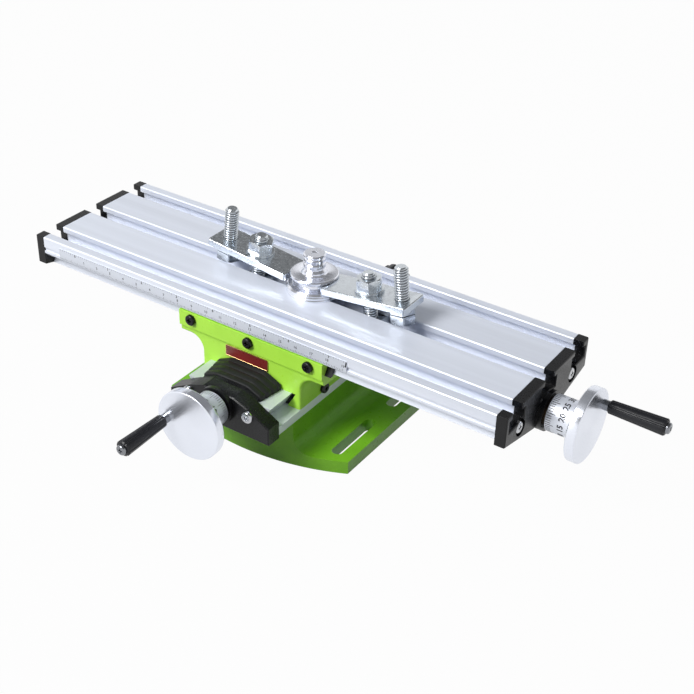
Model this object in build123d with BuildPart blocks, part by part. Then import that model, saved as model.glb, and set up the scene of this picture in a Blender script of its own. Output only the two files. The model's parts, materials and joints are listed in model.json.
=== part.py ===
from build123d import *
from math import cos, radians, sin, tan
import os

# A small cross slide vise: a slotted table on a cast saddle, on a dovetail rail, on a cast base.
# Millimetres. +Z is up, +X points to the table's handwheel, -Y points to the saddle's handwheel.
# The origin is the centre of the base's foot face.

os.makedirs("parts", exist_ok=True)

# Clearances
slide_gap = 0.1           # between flat sliding faces
run_gap = 0.05            # radial, between a shaft and its hole
seat_gap = 0.3            # between a hand-set piece and what it rests on
dovetail_angle = 60.0
shaft_spare = 1.0         # from a shaft's or a screw's end to the end of its hole
screw_room = 1.0          # radial, around a lead screw where it only passes through

# Base casting
plate_thick = 8.0
plate_width = 124.8
plate_side = 98.5         # length of the plate's straight sides
plate_length = 128.3      # over the arcs at both ends
bolt_slot_width = 6.5
bolt_slot_length = 38.7
bolt_slot_x = 51.85
bolt_slot_y = 27.8
pedestal_height = 20.0
pedestal_width = 66.8
pedestal_wall = 6.4
pedestal_lip = 9.0        # straight height above the flank's cove
pocket_width = pedestal_width - 2 * pedestal_wall
pocket_length = 106.0
pocket_depth = 22.0
pocket_corner = 5.0
pocket_draft = 2.0        # degrees
rib_thick = 4.0
rib_pitch = 26.0

# Rail on the base
rail_length = 145.6
rail_flange_thick = 5.0
rail_flange_reach = 10.8
rail_waist = pedestal_width - 2 * rail_flange_reach
rail_dovetail_height = 9.0
rail_channel_width = 14.0
rail_channel_floor = 6.0  # solid height under the channel
rail_screw_x = 14.0
rail_screw_y = 40.0
rail_screw_radius = 2.45
rail_screw_head_radius = 4.25
rail_screw_head_height = 5.0
rail_screw_length = 17.0
rail_socket_radius = 2.3
rail_socket_depth = 2.5

# Lead screws
screw_radius = 3.95
screw_edge = 0.5
journal_radius = 3.0
bushing_radius = 5.0
y_thread_start = 6.0      # from the rail's rear end
y_screw_drop = 2.3        # below the rail's top face

# Front bracket of the rail, with its hood over the screw
bracket_thick = 9.4
bracket_bottom_drop = 2.0   # below the rail's underside
bracket_side_height = 10.5  # straight side, from the bracket's bottom
bracket_shoulder_width = 39.2
bracket_shoulder_rise = 1.9 # above the rail's top face
boss_radius = 11.0
boss_height = 2.6
hood_front_width = 36.0
hood_back_width = 41.0
hood_front_rise = 5.6
hood_back_rise = 7.5
hood_chamfer_rise = 0.42  # share of the hood's rise that stays straight
hood_crown = 0.55         # share of the hood's width that stays flat
hood_gap = 0.5            # to the saddle's leg
hood_bore_room = 2.5      # radial, around the screw
bracket_round = 2.5
bracket_edge = 0.6
bracket_screw_x = 20.0
cross_screw_radius = 1.95
cross_head_radius = 3.5
cross_head_height = 2.0
cross_head_round = 1.2
cross_recess_length = 3.4
cross_recess_depth = 1.1
recess_width = 0.8
cross_screw_length = 14.0
rear_cap_thick = 5.0
rear_screw_x = 14.0
rear_screw_rise = 5.0     # above the rail's underside

# Handwheels
wheel_radius = 20.2
wheel_thick = 5.4
wheel_edge = 0.6
wheel_cover = 2.0         # solid in front of the journal
hub_radius = 6.5
dial_radius = 10.0
dial_length = 16.0
dial_edge = 0.5
thrust_washer_thick = 1.0
thrust_washer_radius = 8.0
grub_radius = 1.95
grub_drop = 0.6           # below the dial's surface
grub_socket_radius = 1.1
grub_socket_depth = 1.6
crank_offset = 14.5
crank_stem_radius = 2.0
crank_shoulder_radius = 2.8
crank_standoff = 3.0
grip_length = 30.7
grip_near_radius = 3.6
grip_far_radius = 4.55
grip_flutes = 6
grip_flute_radius = 0.9
grip_flute_depth = 0.35
grip_edge = 0.7
crank_head_radius = 3.0
crank_head_height = 1.8
crank_head_round = 1.0
crank_recess_length = 3.0
crank_recess_width = 0.7
crank_recess_depth = 1.0
crank_tip_gap = 0.4       # from the stem's end to the dial
x_crank_angle = 24.0
y_crank_angle = 182.0

# Saddle casting
saddle_width = 96.4       # along X
saddle_length = 89.0      # along Y, over the proud upper bands
saddle_band_step = 1.5    # how far each band stands proud of the legs
saddle_band_height = 9.6
saddle_end_height = 14.1  # straight height of the end faces
saddle_cove = 8.5
saddle_leg_width = pedestal_width
saddle_top_gap = 0.4      # under the table's wings
saddle_edge = 1.5
saddle_offset_y = -10.8   # saddle's centre at rest, from the base's centre
saddle_web = 18.6         # between the rail's top face and the table's foot face
gib_thick = 2.0
x_gib_reach = 1.8         # past each end of the saddle
x_gib_length = saddle_width + 2 * x_gib_reach
x_gib_shift = 2.0
y_gib_inset = 2.5         # from each end of the saddle
y_gib_length = saddle_length - 2 * y_gib_inset
gib_screw_radius = 1.95
gib_head_radius = 3.15
gib_head_height = 2.2
gib_head_round = 1.0
gib_recess_length = 3.0
gib_tip_radius = 0.8
x_gib_screw_inset = 8.7   # from each end of the saddle
x_gib_screw_pitch = saddle_width / 2 - x_gib_screw_inset
x_gib_screw_drop = 3.8    # below the saddle's top face
y_gib_screw_pitch = 36.0
y_gib_screw_shift = -3.0  # of the row's middle, from the saddle's centre
y_gib_screw_rise = 2.9    # above the saddle's bottom face
nut_length = 16.0
x_nut_width = 14.0
y_nut_width = 12.6
nut_seat = 6.0            # how deep each nut's block enters the web
nut_cover = 2.0           # solid above or below each screw, in the nut
nut_floor_gap = 1.0       # from the Y nut to the channel's floor
lock_inset = 19.7         # from the saddle's right end
lock_x = saddle_width / 2 - lock_inset
lock_drop = 4.6           # below the saddle's top face
lock_stud_radius = 2.95
lock_neck_radius = 4.2
lock_neck_length = 5.0
lock_knob_radius = 11.0
lock_knob_thick = 11.0
lock_knob_lobes = 12
lock_knob_lobe_radius = 2.0
lock_knob_lobe_depth = 0.6
lock_knob_cover = 2.0
lock_edge = 0.8

# Table
table_length = 300.0
table_overhang = 0.5      # past the saddle, front and rear
table_width = saddle_length + 2 * table_overhang
table_wing_thick = 12.0
table_wing_reach = 10.1
table_neck = table_width - 2 * table_wing_reach
table_dovetail_height = 8.1
table_foot_bevel_rise = 1.0
table_foot_bevel_run = 4.2
wing_rebate = 1.5         # square step along each wing's lower edge
slot_margin = 11.0        # from an outer slot's centre to the table's side
slot_pitch = table_width / 2 - slot_margin
slot_opening = 10.0
slot_lip = 3.5
slot_depth = 10.5
slot_wide = 16.0
slot_edge = 0.5
screw_channel_width = 16.0
screw_channel_depth = 7.1
side_groove_depth = 0.8
side_groove_height = 2.2
side_groove_drop = 6.6
ruler_height = 6.6
ruler_drop = 3.3
ruler_length = 201.5
ruler_start = -137.5
ruler_thick = 0.35
cap_thick = 6.0
cap_corner_drop = 17.75
cap_edge = 0.5
cap_knee_inset = 11.0     # from the table's side
cap_knee_y = table_width / 2 - cap_knee_inset
cap_knee_drop = 20.3
cap_foot_y = 13.0
cap_foot_drop = 25.1
cap_screw_inset = 16.0    # from the table's side
cap_screw_y = table_width / 2 - cap_screw_inset
cap_screw_drop = 14.5
cap_recess_radius = 4.6
cap_recess_depth = 2.2

# Clamps, set in the middle slot
strap_length = 54.0
strap_width = 20.0
strap_thick = 4.0
strap_corner = 1.5
strap_edge = 0.4
strap_pitch = 6.0         # each strap slopes down to the workpiece, in degrees
strap_end_height = 14.7   # top of the outer end above the table
strap_slot_width = 9.0
strap_slot_start = 22.0
strap_slot_end = 36.0
left_jack_place = 8.5     # from the strap's outer end
right_jack_place = 7.5
left_strap_end_x = -54.9
left_bolt_place = 29.8
right_strap_end_x = 75.5
right_bolt_place = 28.0
clamp_bolt_radius = 4.0
clamp_bolt_top = 11.0     # above the strap's top face
clamp_bolt_edge = 0.8
hex_flat = 13.0
hex_cone = -60.0          # degrees, of the cone that breaks a hexagon's corners
hex_cone_run = 3.0
clamp_nut_height = 6.5
washer_radius = 8.0
washer_thick = 1.6
washer_play = 0.3
t_head_length = 13.0
t_head_width = 14.8
t_head_height = 5.0
jack_top = 19.0
jack_head_height = 5.3
jack_nut_height = 3.2

# Workpiece between the straps
work_x = 11.7
work_flange_radius = 15.3
work_flange_height = 5.0
work_groove_radius = 9.5
work_ring_radius = 13.4
work_ring_bottom = 9.7
work_ring_top = 11.2
work_drum_radius = 6.8
work_drum_top = 13.6
work_stub_radius = 6.1
work_neck_radius = 5.4
work_neck_top = 21.4
work_neck_height = 0.8
work_height = 23.0
work_centre_radius = 1.6
work_centre_depth = 0.6
work_edge = 1.0

# Levels and places that follow from the sizes above
slope = tan(radians(dovetail_angle))
rail_bottom = plate_thick + pedestal_height
rail_shelf = rail_bottom + rail_flange_thick
rail_top = rail_shelf + rail_dovetail_height
rail_head = rail_waist / 2 + rail_dovetail_height / slope
rail_end = rail_length / 2
y_screw_z = rail_top - y_screw_drop
rear_screw_z = rail_bottom + rear_screw_rise
bracket_front = -rail_end - bracket_thick
boss_front = bracket_front - boss_height
table_foot_z = rail_top + saddle_web + slide_gap
table_top = table_foot_z + table_dovetail_height + table_wing_thick
table_neck_z = table_foot_z + table_dovetail_height
x_screw_z = table_foot_z
saddle_top = table_neck_z - saddle_top_gap
saddle_bottom = rail_shelf + slide_gap
leg_length = saddle_length - 2 * saddle_band_step
cap_outer = table_length / 2 + cap_thick
cap_boss_outer = cap_outer + boss_height
gib_run = gib_thick / sin(radians(dovetail_angle))
saddle_plane = Plane.XZ.offset(-saddle_offset_y)
y_gib_middle = saddle_offset_y + y_gib_screw_shift


def table_flank(z):
    """Half width of the table's dovetail at height z."""
    return table_neck / 2 + (table_neck_z - z) / slope


def rail_flank(z):
    """Half width of the rail's dovetail at height z."""
    return rail_waist / 2 + (z - rail_shelf) / slope


def save(builder, name):
    builder.part.label = name
    export_step(builder.part, "parts/" + name + ".step")


# Base casting: the foot outline has straight sides and an arc at each end
with BuildSketch() as foot_outline:
    with BuildLine():
        side = plate_side / 2
        edge = plate_width / 2
        Line((edge, -side), (edge, side))
        ThreePointArc((edge, side), (0, plate_length / 2), (-edge, side))
        Line((-edge, side), (-edge, -side))
        ThreePointArc((-edge, -side), (0, -plate_length / 2), (edge, -side))
    make_face()

with BuildPart() as base_casting:
    cove = pedestal_height - pedestal_lip
    with BuildSketch(Plane.XZ) as pedestal_section:
        with BuildLine():
            half = pedestal_width / 2
            foot = half + cove
            bend = cove * (1 - cos(radians(45)))
            waist = plate_thick + cove
            Line((-half, rail_bottom), (half, rail_bottom))
            Line((half, rail_bottom), (half, waist))
            ThreePointArc((half, waist), (half + bend, plate_thick + bend), (foot, plate_thick))
            Line((foot, plate_thick), (foot, 0))
            Line((foot, 0), (-foot, 0))
            Line((-foot, 0), (-foot, plate_thick))
            ThreePointArc((-foot, plate_thick), (-half - bend, plate_thick + bend), (-half, waist))
            Line((-half, waist), (-half, rail_bottom))
        make_face()
    extrude(amount=plate_length / 2, both=True)
    add(foot_outline.sketch)
    extrude(amount=rail_bottom, mode=Mode.INTERSECT)
    add(foot_outline.sketch)
    extrude(amount=plate_thick)
    with BuildSketch():
        with Locations((bolt_slot_x, bolt_slot_y), (bolt_slot_x, -bolt_slot_y),
                       (-bolt_slot_x, bolt_slot_y), (-bolt_slot_x, -bolt_slot_y)):
            SlotOverall(bolt_slot_length, bolt_slot_width, rotation=90)
    extrude(amount=plate_thick, mode=Mode.SUBTRACT)
    with BuildSketch():
        RectangleRounded(pocket_width, pocket_length, pocket_corner)
    extrude(amount=pocket_depth, taper=pocket_draft, mode=Mode.SUBTRACT)
    with BuildSketch():
        Rectangle(rib_thick, pocket_length)
        with Locations((0, -rib_pitch), (0, 0), (0, rib_pitch)):
            Rectangle(pocket_width, rib_thick)
    extrude(amount=pocket_depth)
    with BuildSketch(Plane.XY.offset(pocket_depth)):
        with GridLocations(2 * rail_screw_x, 2 * rail_screw_y, 2, 2):
            Circle(rail_screw_radius + run_gap)
    extrude(amount=rail_bottom - pocket_depth, mode=Mode.SUBTRACT)
save(base_casting, "base_casting")

# Rail: a dovetail on flanges, with a channel for the screw
with BuildPart() as y_rail:
    with BuildSketch(Plane.XZ):
        with BuildLine():
            flange = pedestal_width / 2
            Polyline(
                (-flange, rail_bottom), (flange, rail_bottom), (flange, rail_shelf),
                (rail_waist / 2, rail_shelf), (rail_head, rail_top),
                (-rail_head, rail_top), (-rail_waist / 2, rail_shelf), (-flange, rail_shelf),
                close=True)
        make_face()
        with Locations((0, rail_bottom + rail_channel_floor)):
            Rectangle(rail_channel_width, rail_top, align=(Align.CENTER, Align.MIN), mode=Mode.SUBTRACT)
    extrude(amount=rail_end, both=True)
    with BuildSketch(Plane.XY.offset(rail_bottom)):
        with GridLocations(2 * rail_screw_x, 2 * rail_screw_y, 2, 2):
            Circle(rail_screw_radius + run_gap)
    extrude(amount=rail_screw_length - (rail_bottom - pocket_depth) + shaft_spare, mode=Mode.SUBTRACT)
    for out, x, z in ((1, bracket_screw_x, y_screw_z), (-1, rear_screw_x, rear_screw_z)):
        with BuildSketch(Plane.XZ.offset(out * rail_end)):
            with Locations((x, z), (-x, z)):
                Circle(cross_screw_radius + run_gap)
        extrude(amount=-out * cross_screw_length, mode=Mode.SUBTRACT)
save(y_rail, "y_rail")

with BuildPart() as rail_screws:
    with BuildSketch(Plane.XY.offset(pocket_depth)):
        with GridLocations(2 * rail_screw_x, 2 * rail_screw_y, 2, 2):
            Circle(rail_screw_head_radius)
    extrude(amount=-rail_screw_head_height)
    with BuildSketch(Plane.XY.offset(pocket_depth)):
        with GridLocations(2 * rail_screw_x, 2 * rail_screw_y, 2, 2):
            Circle(rail_screw_radius)
    extrude(amount=rail_screw_length)
    with BuildSketch(Plane.XY.offset(pocket_depth - rail_screw_head_height)):
        with GridLocations(2 * rail_screw_x, 2 * rail_screw_y, 2, 2):
            RegularPolygon(rail_socket_radius, 6)
    extrude(amount=rail_socket_depth, mode=Mode.SUBTRACT)
save(rail_screws, "rail_screws")


def arch(width, rise):
    """Hood section over the rail's top face, as sketch lines."""
    half = width / 2
    shoulder = rise * hood_chamfer_rise
    crown = half * hood_crown
    Line((-half, rail_top), (half, rail_top))
    Line((half, rail_top), (half, rail_top + shoulder))
    Line((half, rail_top + shoulder), (crown, rail_top + rise))
    Line((crown, rail_top + rise), (-crown, rail_top + rise))
    Line((-crown, rail_top + rise), (-half, rail_top + shoulder))
    Line((-half, rail_top + shoulder), (-half, rail_top))


# Front bracket with its boss, and the hood that covers the screw
with BuildPart() as y_end_bracket:
    with BuildSketch(Plane.XZ.offset(rail_end)):
        with BuildLine():
            half = pedestal_width / 2
            low = rail_bottom - bracket_bottom_drop
            shoulder = bracket_shoulder_width / 2
            crown = hood_front_width / 2 * hood_crown
            Polyline(
                (-half, low), (half, low), (half, low + bracket_side_height),
                (shoulder, rail_top + bracket_shoulder_rise), (crown, rail_top + hood_front_rise),
                (-crown, rail_top + hood_front_rise), (-shoulder, rail_top + bracket_shoulder_rise),
                (-half, low + bracket_side_height),
                close=True)
        make_face()
    extrude(amount=bracket_thick)
    ridges = y_end_bracket.edges().filter_by(Axis.Y)
    fillet(ridges.group_by(Axis.Z)[-1] + ridges.group_by(Axis.Z)[-2], bracket_round)
    chamfer(y_end_bracket.faces().sort_by(Axis.Y)[0].edges(), bracket_edge)
    with BuildSketch(Plane.XZ.offset(-bracket_front)):
        with Locations((0, y_screw_z)):
            Circle(boss_radius)
    extrude(amount=boss_height)
    hood_back = -saddle_offset_y + leg_length / 2 + hood_gap
    with BuildSketch(Plane.XZ.offset(rail_end)):
        with BuildLine():
            arch(hood_front_width, hood_front_rise)
        make_face()
    with BuildSketch(Plane.XZ.offset(hood_back)):
        with BuildLine():
            arch(hood_back_width, hood_back_rise)
        make_face()
    loft()
    with BuildSketch(Plane.XZ.offset(rail_end)):
        with Locations((0, y_screw_z)):
            Circle(screw_radius + hood_bore_room)
    extrude(amount=hood_back - rail_end, mode=Mode.SUBTRACT)
    with BuildSketch(Plane.XZ.offset(-boss_front)):
        with Locations((0, y_screw_z)):
            Circle(bushing_radius + run_gap)
    extrude(amount=boss_front + rail_end, mode=Mode.SUBTRACT)
    with BuildSketch(Plane.XZ.offset(-bracket_front)):
        with Locations((bracket_screw_x, y_screw_z), (-bracket_screw_x, y_screw_z)):
            Circle(cross_screw_radius + run_gap)
    extrude(amount=-bracket_thick, mode=Mode.SUBTRACT)
save(y_end_bracket, "y_end_bracket")


def cross_screws(plane, places, length):
    """Pan head screws with a cross recess; the plane holds the faces they seat on."""
    with BuildPart() as shape:
        with BuildSketch(plane):
            with Locations(*places):
                Circle(cross_head_radius)
        extrude(amount=cross_head_height)
        fillet(faces().group_by(Axis(plane.origin, plane.z_dir))[-1].edges(), cross_head_round)
        with BuildSketch(plane):
            with Locations(*places):
                Circle(cross_screw_radius)
        extrude(amount=-length)
        with BuildSketch(plane.offset(cross_head_height)):
            with Locations(*places):
                Rectangle(cross_recess_length, recess_width)
                Rectangle(recess_width, cross_recess_length)
        extrude(amount=-cross_recess_depth, mode=Mode.SUBTRACT)
    return shape


y_bracket_screws = cross_screws(Plane.XZ.offset(-bracket_front),
                                [(bracket_screw_x, y_screw_z), (-bracket_screw_x, y_screw_z)],
                                bracket_thick + cross_screw_length - shaft_spare)
save(y_bracket_screws, "y_bracket_screws")

with BuildPart() as y_bushing:
    with BuildSketch(Plane.XZ.offset(-boss_front)):
        with Locations((0, y_screw_z)):
            Circle(bushing_radius)
            Circle(journal_radius + run_gap, mode=Mode.SUBTRACT)
    extrude(amount=boss_front + rail_end)
save(y_bushing, "y_bushing")

# Rear plate of the rail: it stays inside the dovetail's outline, so the saddle can pass over it
with BuildPart() as rear_rail_cap:
    with BuildSketch(Plane.XZ.offset(-rail_end)):
        with BuildLine():
            flange = pedestal_width / 2
            Polyline(
                (-flange, rail_bottom), (flange, rail_bottom), (flange, rail_shelf),
                (rail_waist / 2, rail_shelf), (rail_head, rail_top),
                (-rail_head, rail_top), (-rail_waist / 2, rail_shelf), (-flange, rail_shelf),
                close=True)
        make_face()
        with Locations((0, y_screw_z)):
            Circle(journal_radius + run_gap, mode=Mode.SUBTRACT)
        with Locations((rear_screw_x, rear_screw_z), (-rear_screw_x, rear_screw_z)):
            Circle(cross_screw_radius + run_gap, mode=Mode.SUBTRACT)
    extrude(amount=-rear_cap_thick)
save(rear_rail_cap, "rear_rail_cap")

rear_seat = Plane(origin=(0, rail_end + rear_cap_thick, rear_screw_z), x_dir=(1, 0, 0), z_dir=(0, 1, 0))
rear_cap_screws = cross_screws(rear_seat, [(rear_screw_x, 0), (-rear_screw_x, 0)],
                               rear_cap_thick + cross_screw_length - shaft_spare)
save(rear_cap_screws, "rear_cap_screws")


class Axle:
    """Frame of a screw axis: x and y span the wheel's face, z points out to the wheel."""

    def __init__(self, origin, x_dir, z_dir):
        self.plane = Plane(origin=origin, x_dir=x_dir, z_dir=z_dir)

    def at(self, distance):
        return self.plane.offset(distance)

    def below(self, distance):
        """Plane through the axis whose z points down, for a radial hole."""
        return Plane(origin=self.at(distance).origin, x_dir=self.plane.z_dir, z_dir=(0, 0, -1))


y_axle = Axle((0, 0, y_screw_z), (1, 0, 0), (0, -1, 0))
x_axle = Axle((0, saddle_offset_y, x_screw_z), (0, 1, 0), (1, 0, 0))


def lead_screw(axle, back, thread_start, thread_end, front):
    """Threaded length between two shoulders, with plain journals at both ends."""
    with BuildPart() as shape:
        with BuildSketch(axle.at(back)):
            Circle(journal_radius)
        extrude(amount=front - back)
        with BuildSketch(axle.at(thread_start)):
            Circle(screw_radius)
        extrude(amount=thread_end - thread_start)
        chamfer(edges().filter_by(GeomType.CIRCLE).group_by(SortBy.RADIUS)[-1], screw_edge)
    return shape


def thrust_washer(axle, face):
    with BuildPart() as shape:
        with BuildSketch(axle.at(face)):
            Circle(thrust_washer_radius)
            Circle(journal_radius + run_gap, mode=Mode.SUBTRACT)
        extrude(amount=thrust_washer_thick - 2 * run_gap)
    return shape


def dial(axle, face):
    """Graduated collar on the handwheel's hub."""
    with BuildPart() as shape:
        with BuildSketch(axle.at(face)):
            Circle(dial_radius)
        extrude(amount=dial_length)
        chamfer(edges().group_by(SortBy.LENGTH)[-1], dial_edge)
        with BuildSketch(axle.at(face)):
            Circle(hub_radius + run_gap)
        extrude(amount=dial_length, mode=Mode.SUBTRACT)
        grub_plane = axle.below(face + dial_length / 2)
        with BuildSketch(grub_plane):
            Circle(grub_radius + run_gap)
        extrude(amount=dial_radius, mode=Mode.SUBTRACT)
    return shape


def handwheel(axle, face, crank_angle):
    """Flat disc with a hub inside the dial, bored for the journal and the crank screw."""
    with BuildPart() as shape:
        disc = face + dial_length
        with BuildSketch(axle.at(disc)):
            Circle(wheel_radius)
        extrude(amount=wheel_thick)
        fillet(edges().filter_by(GeomType.CIRCLE), wheel_edge)
        with BuildSketch(axle.at(face)):
            Circle(hub_radius)
        extrude(amount=dial_length)
        with BuildSketch(axle.at(face)):
            Circle(journal_radius + run_gap)
        extrude(amount=dial_length + wheel_thick - wheel_cover, mode=Mode.SUBTRACT)
        with BuildSketch(axle.at(disc)):
            with PolarLocations(crank_offset, 1, start_angle=crank_angle):
                Circle(crank_stem_radius + run_gap)
        extrude(amount=wheel_thick, mode=Mode.SUBTRACT)
        grub_plane = axle.below(face + dial_length / 2)
        with BuildSketch(grub_plane):
            Circle(grub_radius + run_gap)
        extrude(amount=dial_radius, mode=Mode.SUBTRACT)
    return shape


def grub_screw(axle, face):
    """Set screw through the dial and the hub to the journal."""
    with BuildPart() as shape:
        grub_plane = axle.below(face + dial_length / 2)
        with BuildSketch(grub_plane.offset(journal_radius + run_gap)):
            Circle(grub_radius)
        extrude(amount=dial_radius - journal_radius - run_gap - grub_drop)
        with BuildSketch(grub_plane.offset(dial_radius - grub_drop)):
            RegularPolygon(grub_socket_radius, 6)
        extrude(amount=-grub_socket_depth, mode=Mode.SUBTRACT)
    return shape


def crank_screw(axle, face, crank_angle):
    """Shoulder screw that carries the grip: threaded end in the disc, stem, and domed head."""
    with BuildPart() as shape:
        disc = face + dial_length
        outer = disc + wheel_thick
        seat = outer + crank_standoff + grip_length + 2 * run_gap
        with BuildSketch(axle.at(disc + crank_tip_gap)):
            with PolarLocations(crank_offset, 1, start_angle=crank_angle):
                Circle(crank_stem_radius)
        extrude(amount=seat - disc - crank_tip_gap)
        with BuildSketch(axle.at(outer)):
            with PolarLocations(crank_offset, 1, start_angle=crank_angle):
                Circle(crank_shoulder_radius)
        extrude(amount=crank_standoff - 2 * run_gap)
        with BuildSketch(axle.at(seat)):
            with PolarLocations(crank_offset, 1, start_angle=crank_angle):
                Circle(crank_head_radius)
        extrude(amount=crank_head_height)
        fillet(faces().sort_by(Axis(axle.plane.origin, axle.plane.z_dir))[-1].edges(), crank_head_round)
        with BuildSketch(axle.at(seat + crank_head_height)):
            with PolarLocations(crank_offset, 1, start_angle=crank_angle):
                Rectangle(crank_recess_length, crank_recess_width)
                Rectangle(crank_recess_width, crank_recess_length)
        extrude(amount=-crank_recess_depth, mode=Mode.SUBTRACT)
    return shape


def crank_grip(axle, face, crank_angle):
    """Tapered sleeve with shallow flutes, free to turn on the crank screw."""
    with BuildPart() as shape:
        near = face + dial_length + wheel_thick + crank_standoff
        for place, radius in ((near, grip_near_radius), (near + grip_length, grip_far_radius)):
            with BuildSketch(axle.at(place)):
                with PolarLocations(crank_offset, 1, start_angle=crank_angle):
                    Circle(radius)
                    with PolarLocations(radius + grip_flute_radius - grip_flute_depth, grip_flutes):
                        Circle(grip_flute_radius, mode=Mode.SUBTRACT)
        loft()
        ends = faces().sort_by(Axis(axle.plane.origin, axle.plane.z_dir))
        chamfer(ends[-1].edges() + ends[0].edges(), grip_edge)
        with BuildSketch(axle.at(near)):
            with PolarLocations(crank_offset, 1, start_angle=crank_angle):
                Circle(crank_stem_radius + run_gap)
        extrude(amount=grip_length, mode=Mode.SUBTRACT)
    return shape


# Each screw, with its washer, dial, handwheel, grub screw and crank
y_face = -boss_front
y_reach = y_face + thrust_washer_thick + dial_length + wheel_thick - wheel_cover - seat_gap
y_lead_screw = lead_screw(y_axle, -rail_end - rear_cap_thick + shaft_spare, -rail_end + y_thread_start,
                          rail_end - seat_gap, y_reach)
save(y_lead_screw, "y_lead_screw")

x_face = cap_boss_outer
x_reach = x_face + thrust_washer_thick + dial_length + wheel_thick - wheel_cover - seat_gap
x_lead_screw = lead_screw(x_axle, -cap_outer + shaft_spare, -table_length / 2 + seat_gap,
                          table_length / 2 - seat_gap, x_reach)
save(x_lead_screw, "x_lead_screw")

screw_sets = (("y", y_axle, y_face, y_crank_angle), ("x", x_axle, x_face, x_crank_angle))
for prefix, axle, face, angle in screw_sets:
    collar = face + thrust_washer_thick
    washer_part = thrust_washer(axle, face + run_gap)
    save(washer_part, prefix + "_thrust_washer")
    dial_part = dial(axle, collar)
    save(dial_part, prefix + "_dial")
    wheel_part = handwheel(axle, collar, angle)
    save(wheel_part, prefix + "_handwheel")
    grub_part = grub_screw(axle, collar)
    save(grub_part, prefix + "_grub_screw")
    crank_part = crank_screw(axle, collar, angle)
    save(crank_part, prefix + "_crank_screw")
    grip_part = crank_grip(axle, collar, angle)
    save(grip_part, prefix + "_crank_grip")

# Saddle casting: an upper block with a dovetail way along X, on legs with a dovetail way along Y
with BuildPart() as saddle_casting:
    with BuildSketch(saddle_plane):
        with BuildLine():
            half = saddle_width / 2
            leg = saddle_leg_width / 2
            shelf = saddle_top - saddle_end_height
            bend = saddle_cove * (1 - cos(radians(45)))
            knee = shelf - saddle_cove
            run = leg + saddle_cove
            Line((-half, saddle_top), (half, saddle_top))
            Line((half, saddle_top), (half, shelf))
            Line((half, shelf), (run, shelf))
            ThreePointArc((run, shelf), (leg + bend, shelf - bend), (leg, knee))
            Line((leg, knee), (leg, saddle_bottom))
            Line((leg, saddle_bottom), (-leg, saddle_bottom))
            Line((-leg, saddle_bottom), (-leg, knee))
            ThreePointArc((-leg, knee), (-leg - bend, shelf - bend), (-run, shelf))
            Line((-run, shelf), (-half, shelf))
            Line((-half, shelf), (-half, saddle_top))
        make_face()
    extrude(amount=leg_length / 2, both=True)
    band_plane = Plane((0, saddle_offset_y, saddle_top - saddle_band_height))
    with BuildSketch(band_plane):
        Rectangle(saddle_width, saddle_length)
    extrude(amount=saddle_band_height)
    fillet(saddle_casting.edges().filter_by(Axis.Z).group_by(SortBy.LENGTH)[-1], saddle_edge)
    with BuildSketch(Plane.YZ):
        front = saddle_offset_y - gib_run - 2 * slide_gap
        back = saddle_offset_y + slide_gap
        with BuildLine():
            low = table_foot_z - slide_gap
            Polyline(
                (front - table_flank(low), low), (back + table_flank(low), low),
                (back + table_flank(saddle_top), saddle_top), (front - table_flank(saddle_top), saddle_top),
                close=True)
        make_face()
        with Locations((saddle_offset_y, x_screw_z)):
            Circle(screw_radius + screw_room)
    extrude(amount=saddle_width / 2, both=True, mode=Mode.SUBTRACT)
    with BuildSketch(saddle_plane):
        with BuildLine():
            low = saddle_bottom
            high = rail_top + slide_gap
            left = -slide_gap
            right = gib_run + 2 * slide_gap
            Polyline(
                (left - rail_flank(low), low), (right + rail_flank(low), low),
                (right + rail_flank(high), high), (left - rail_flank(high), high),
                close=True)
        make_face()
        with Locations((0, y_screw_z)):
            Circle(screw_radius + screw_room)
    extrude(amount=saddle_length / 2, both=True, mode=Mode.SUBTRACT)
    with BuildSketch(Plane((0, saddle_offset_y, table_foot_z - nut_seat))):
        Rectangle(nut_length + 2 * run_gap, x_nut_width + 2 * run_gap)
    extrude(amount=nut_seat, mode=Mode.SUBTRACT)
    with BuildSketch(Plane((0, saddle_offset_y, rail_top))):
        Rectangle(y_nut_width + 2 * run_gap, nut_length + 2 * run_gap)
    extrude(amount=nut_seat, mode=Mode.SUBTRACT)
    gib_row = saddle_top - x_gib_screw_drop
    with BuildSketch(Plane.XZ.offset(saddle_length / 2 - saddle_offset_y)):
        with Locations((-x_gib_screw_pitch, gib_row), (0, gib_row), (x_gib_screw_pitch, gib_row)):
            Circle(gib_screw_radius + run_gap)
    extrude(amount=-saddle_length / 4, mode=Mode.SUBTRACT)
    with BuildSketch(Plane.YZ.offset(saddle_leg_width / 2)):
        with Locations((y_gib_middle - y_gib_screw_pitch / 2, saddle_bottom + y_gib_screw_rise),
                       (y_gib_middle + y_gib_screw_pitch / 2, saddle_bottom + y_gib_screw_rise)):
            Circle(gib_screw_radius + run_gap)
    extrude(amount=-saddle_leg_width / 4, mode=Mode.SUBTRACT)
    with BuildSketch(Plane.XZ.offset(-saddle_length / 2 - saddle_offset_y)):
        with Locations((lock_x, saddle_top - lock_drop)):
            Circle(lock_stud_radius + run_gap)
    extrude(amount=saddle_length / 4, mode=Mode.SUBTRACT)
save(saddle_casting, "saddle_casting")

# Bronze nuts: each sits in a pocket of the saddle's web
with BuildPart() as x_nut:
    with BuildSketch(Plane((0, saddle_offset_y, table_foot_z - nut_seat))):
        Rectangle(nut_length, x_nut_width)
    extrude(amount=nut_seat + screw_radius + nut_cover)
    with BuildSketch(x_axle.at(-nut_length / 2)):
        Circle(screw_radius + run_gap)
    extrude(amount=nut_length, mode=Mode.SUBTRACT)
save(x_nut, "x_nut")

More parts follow.
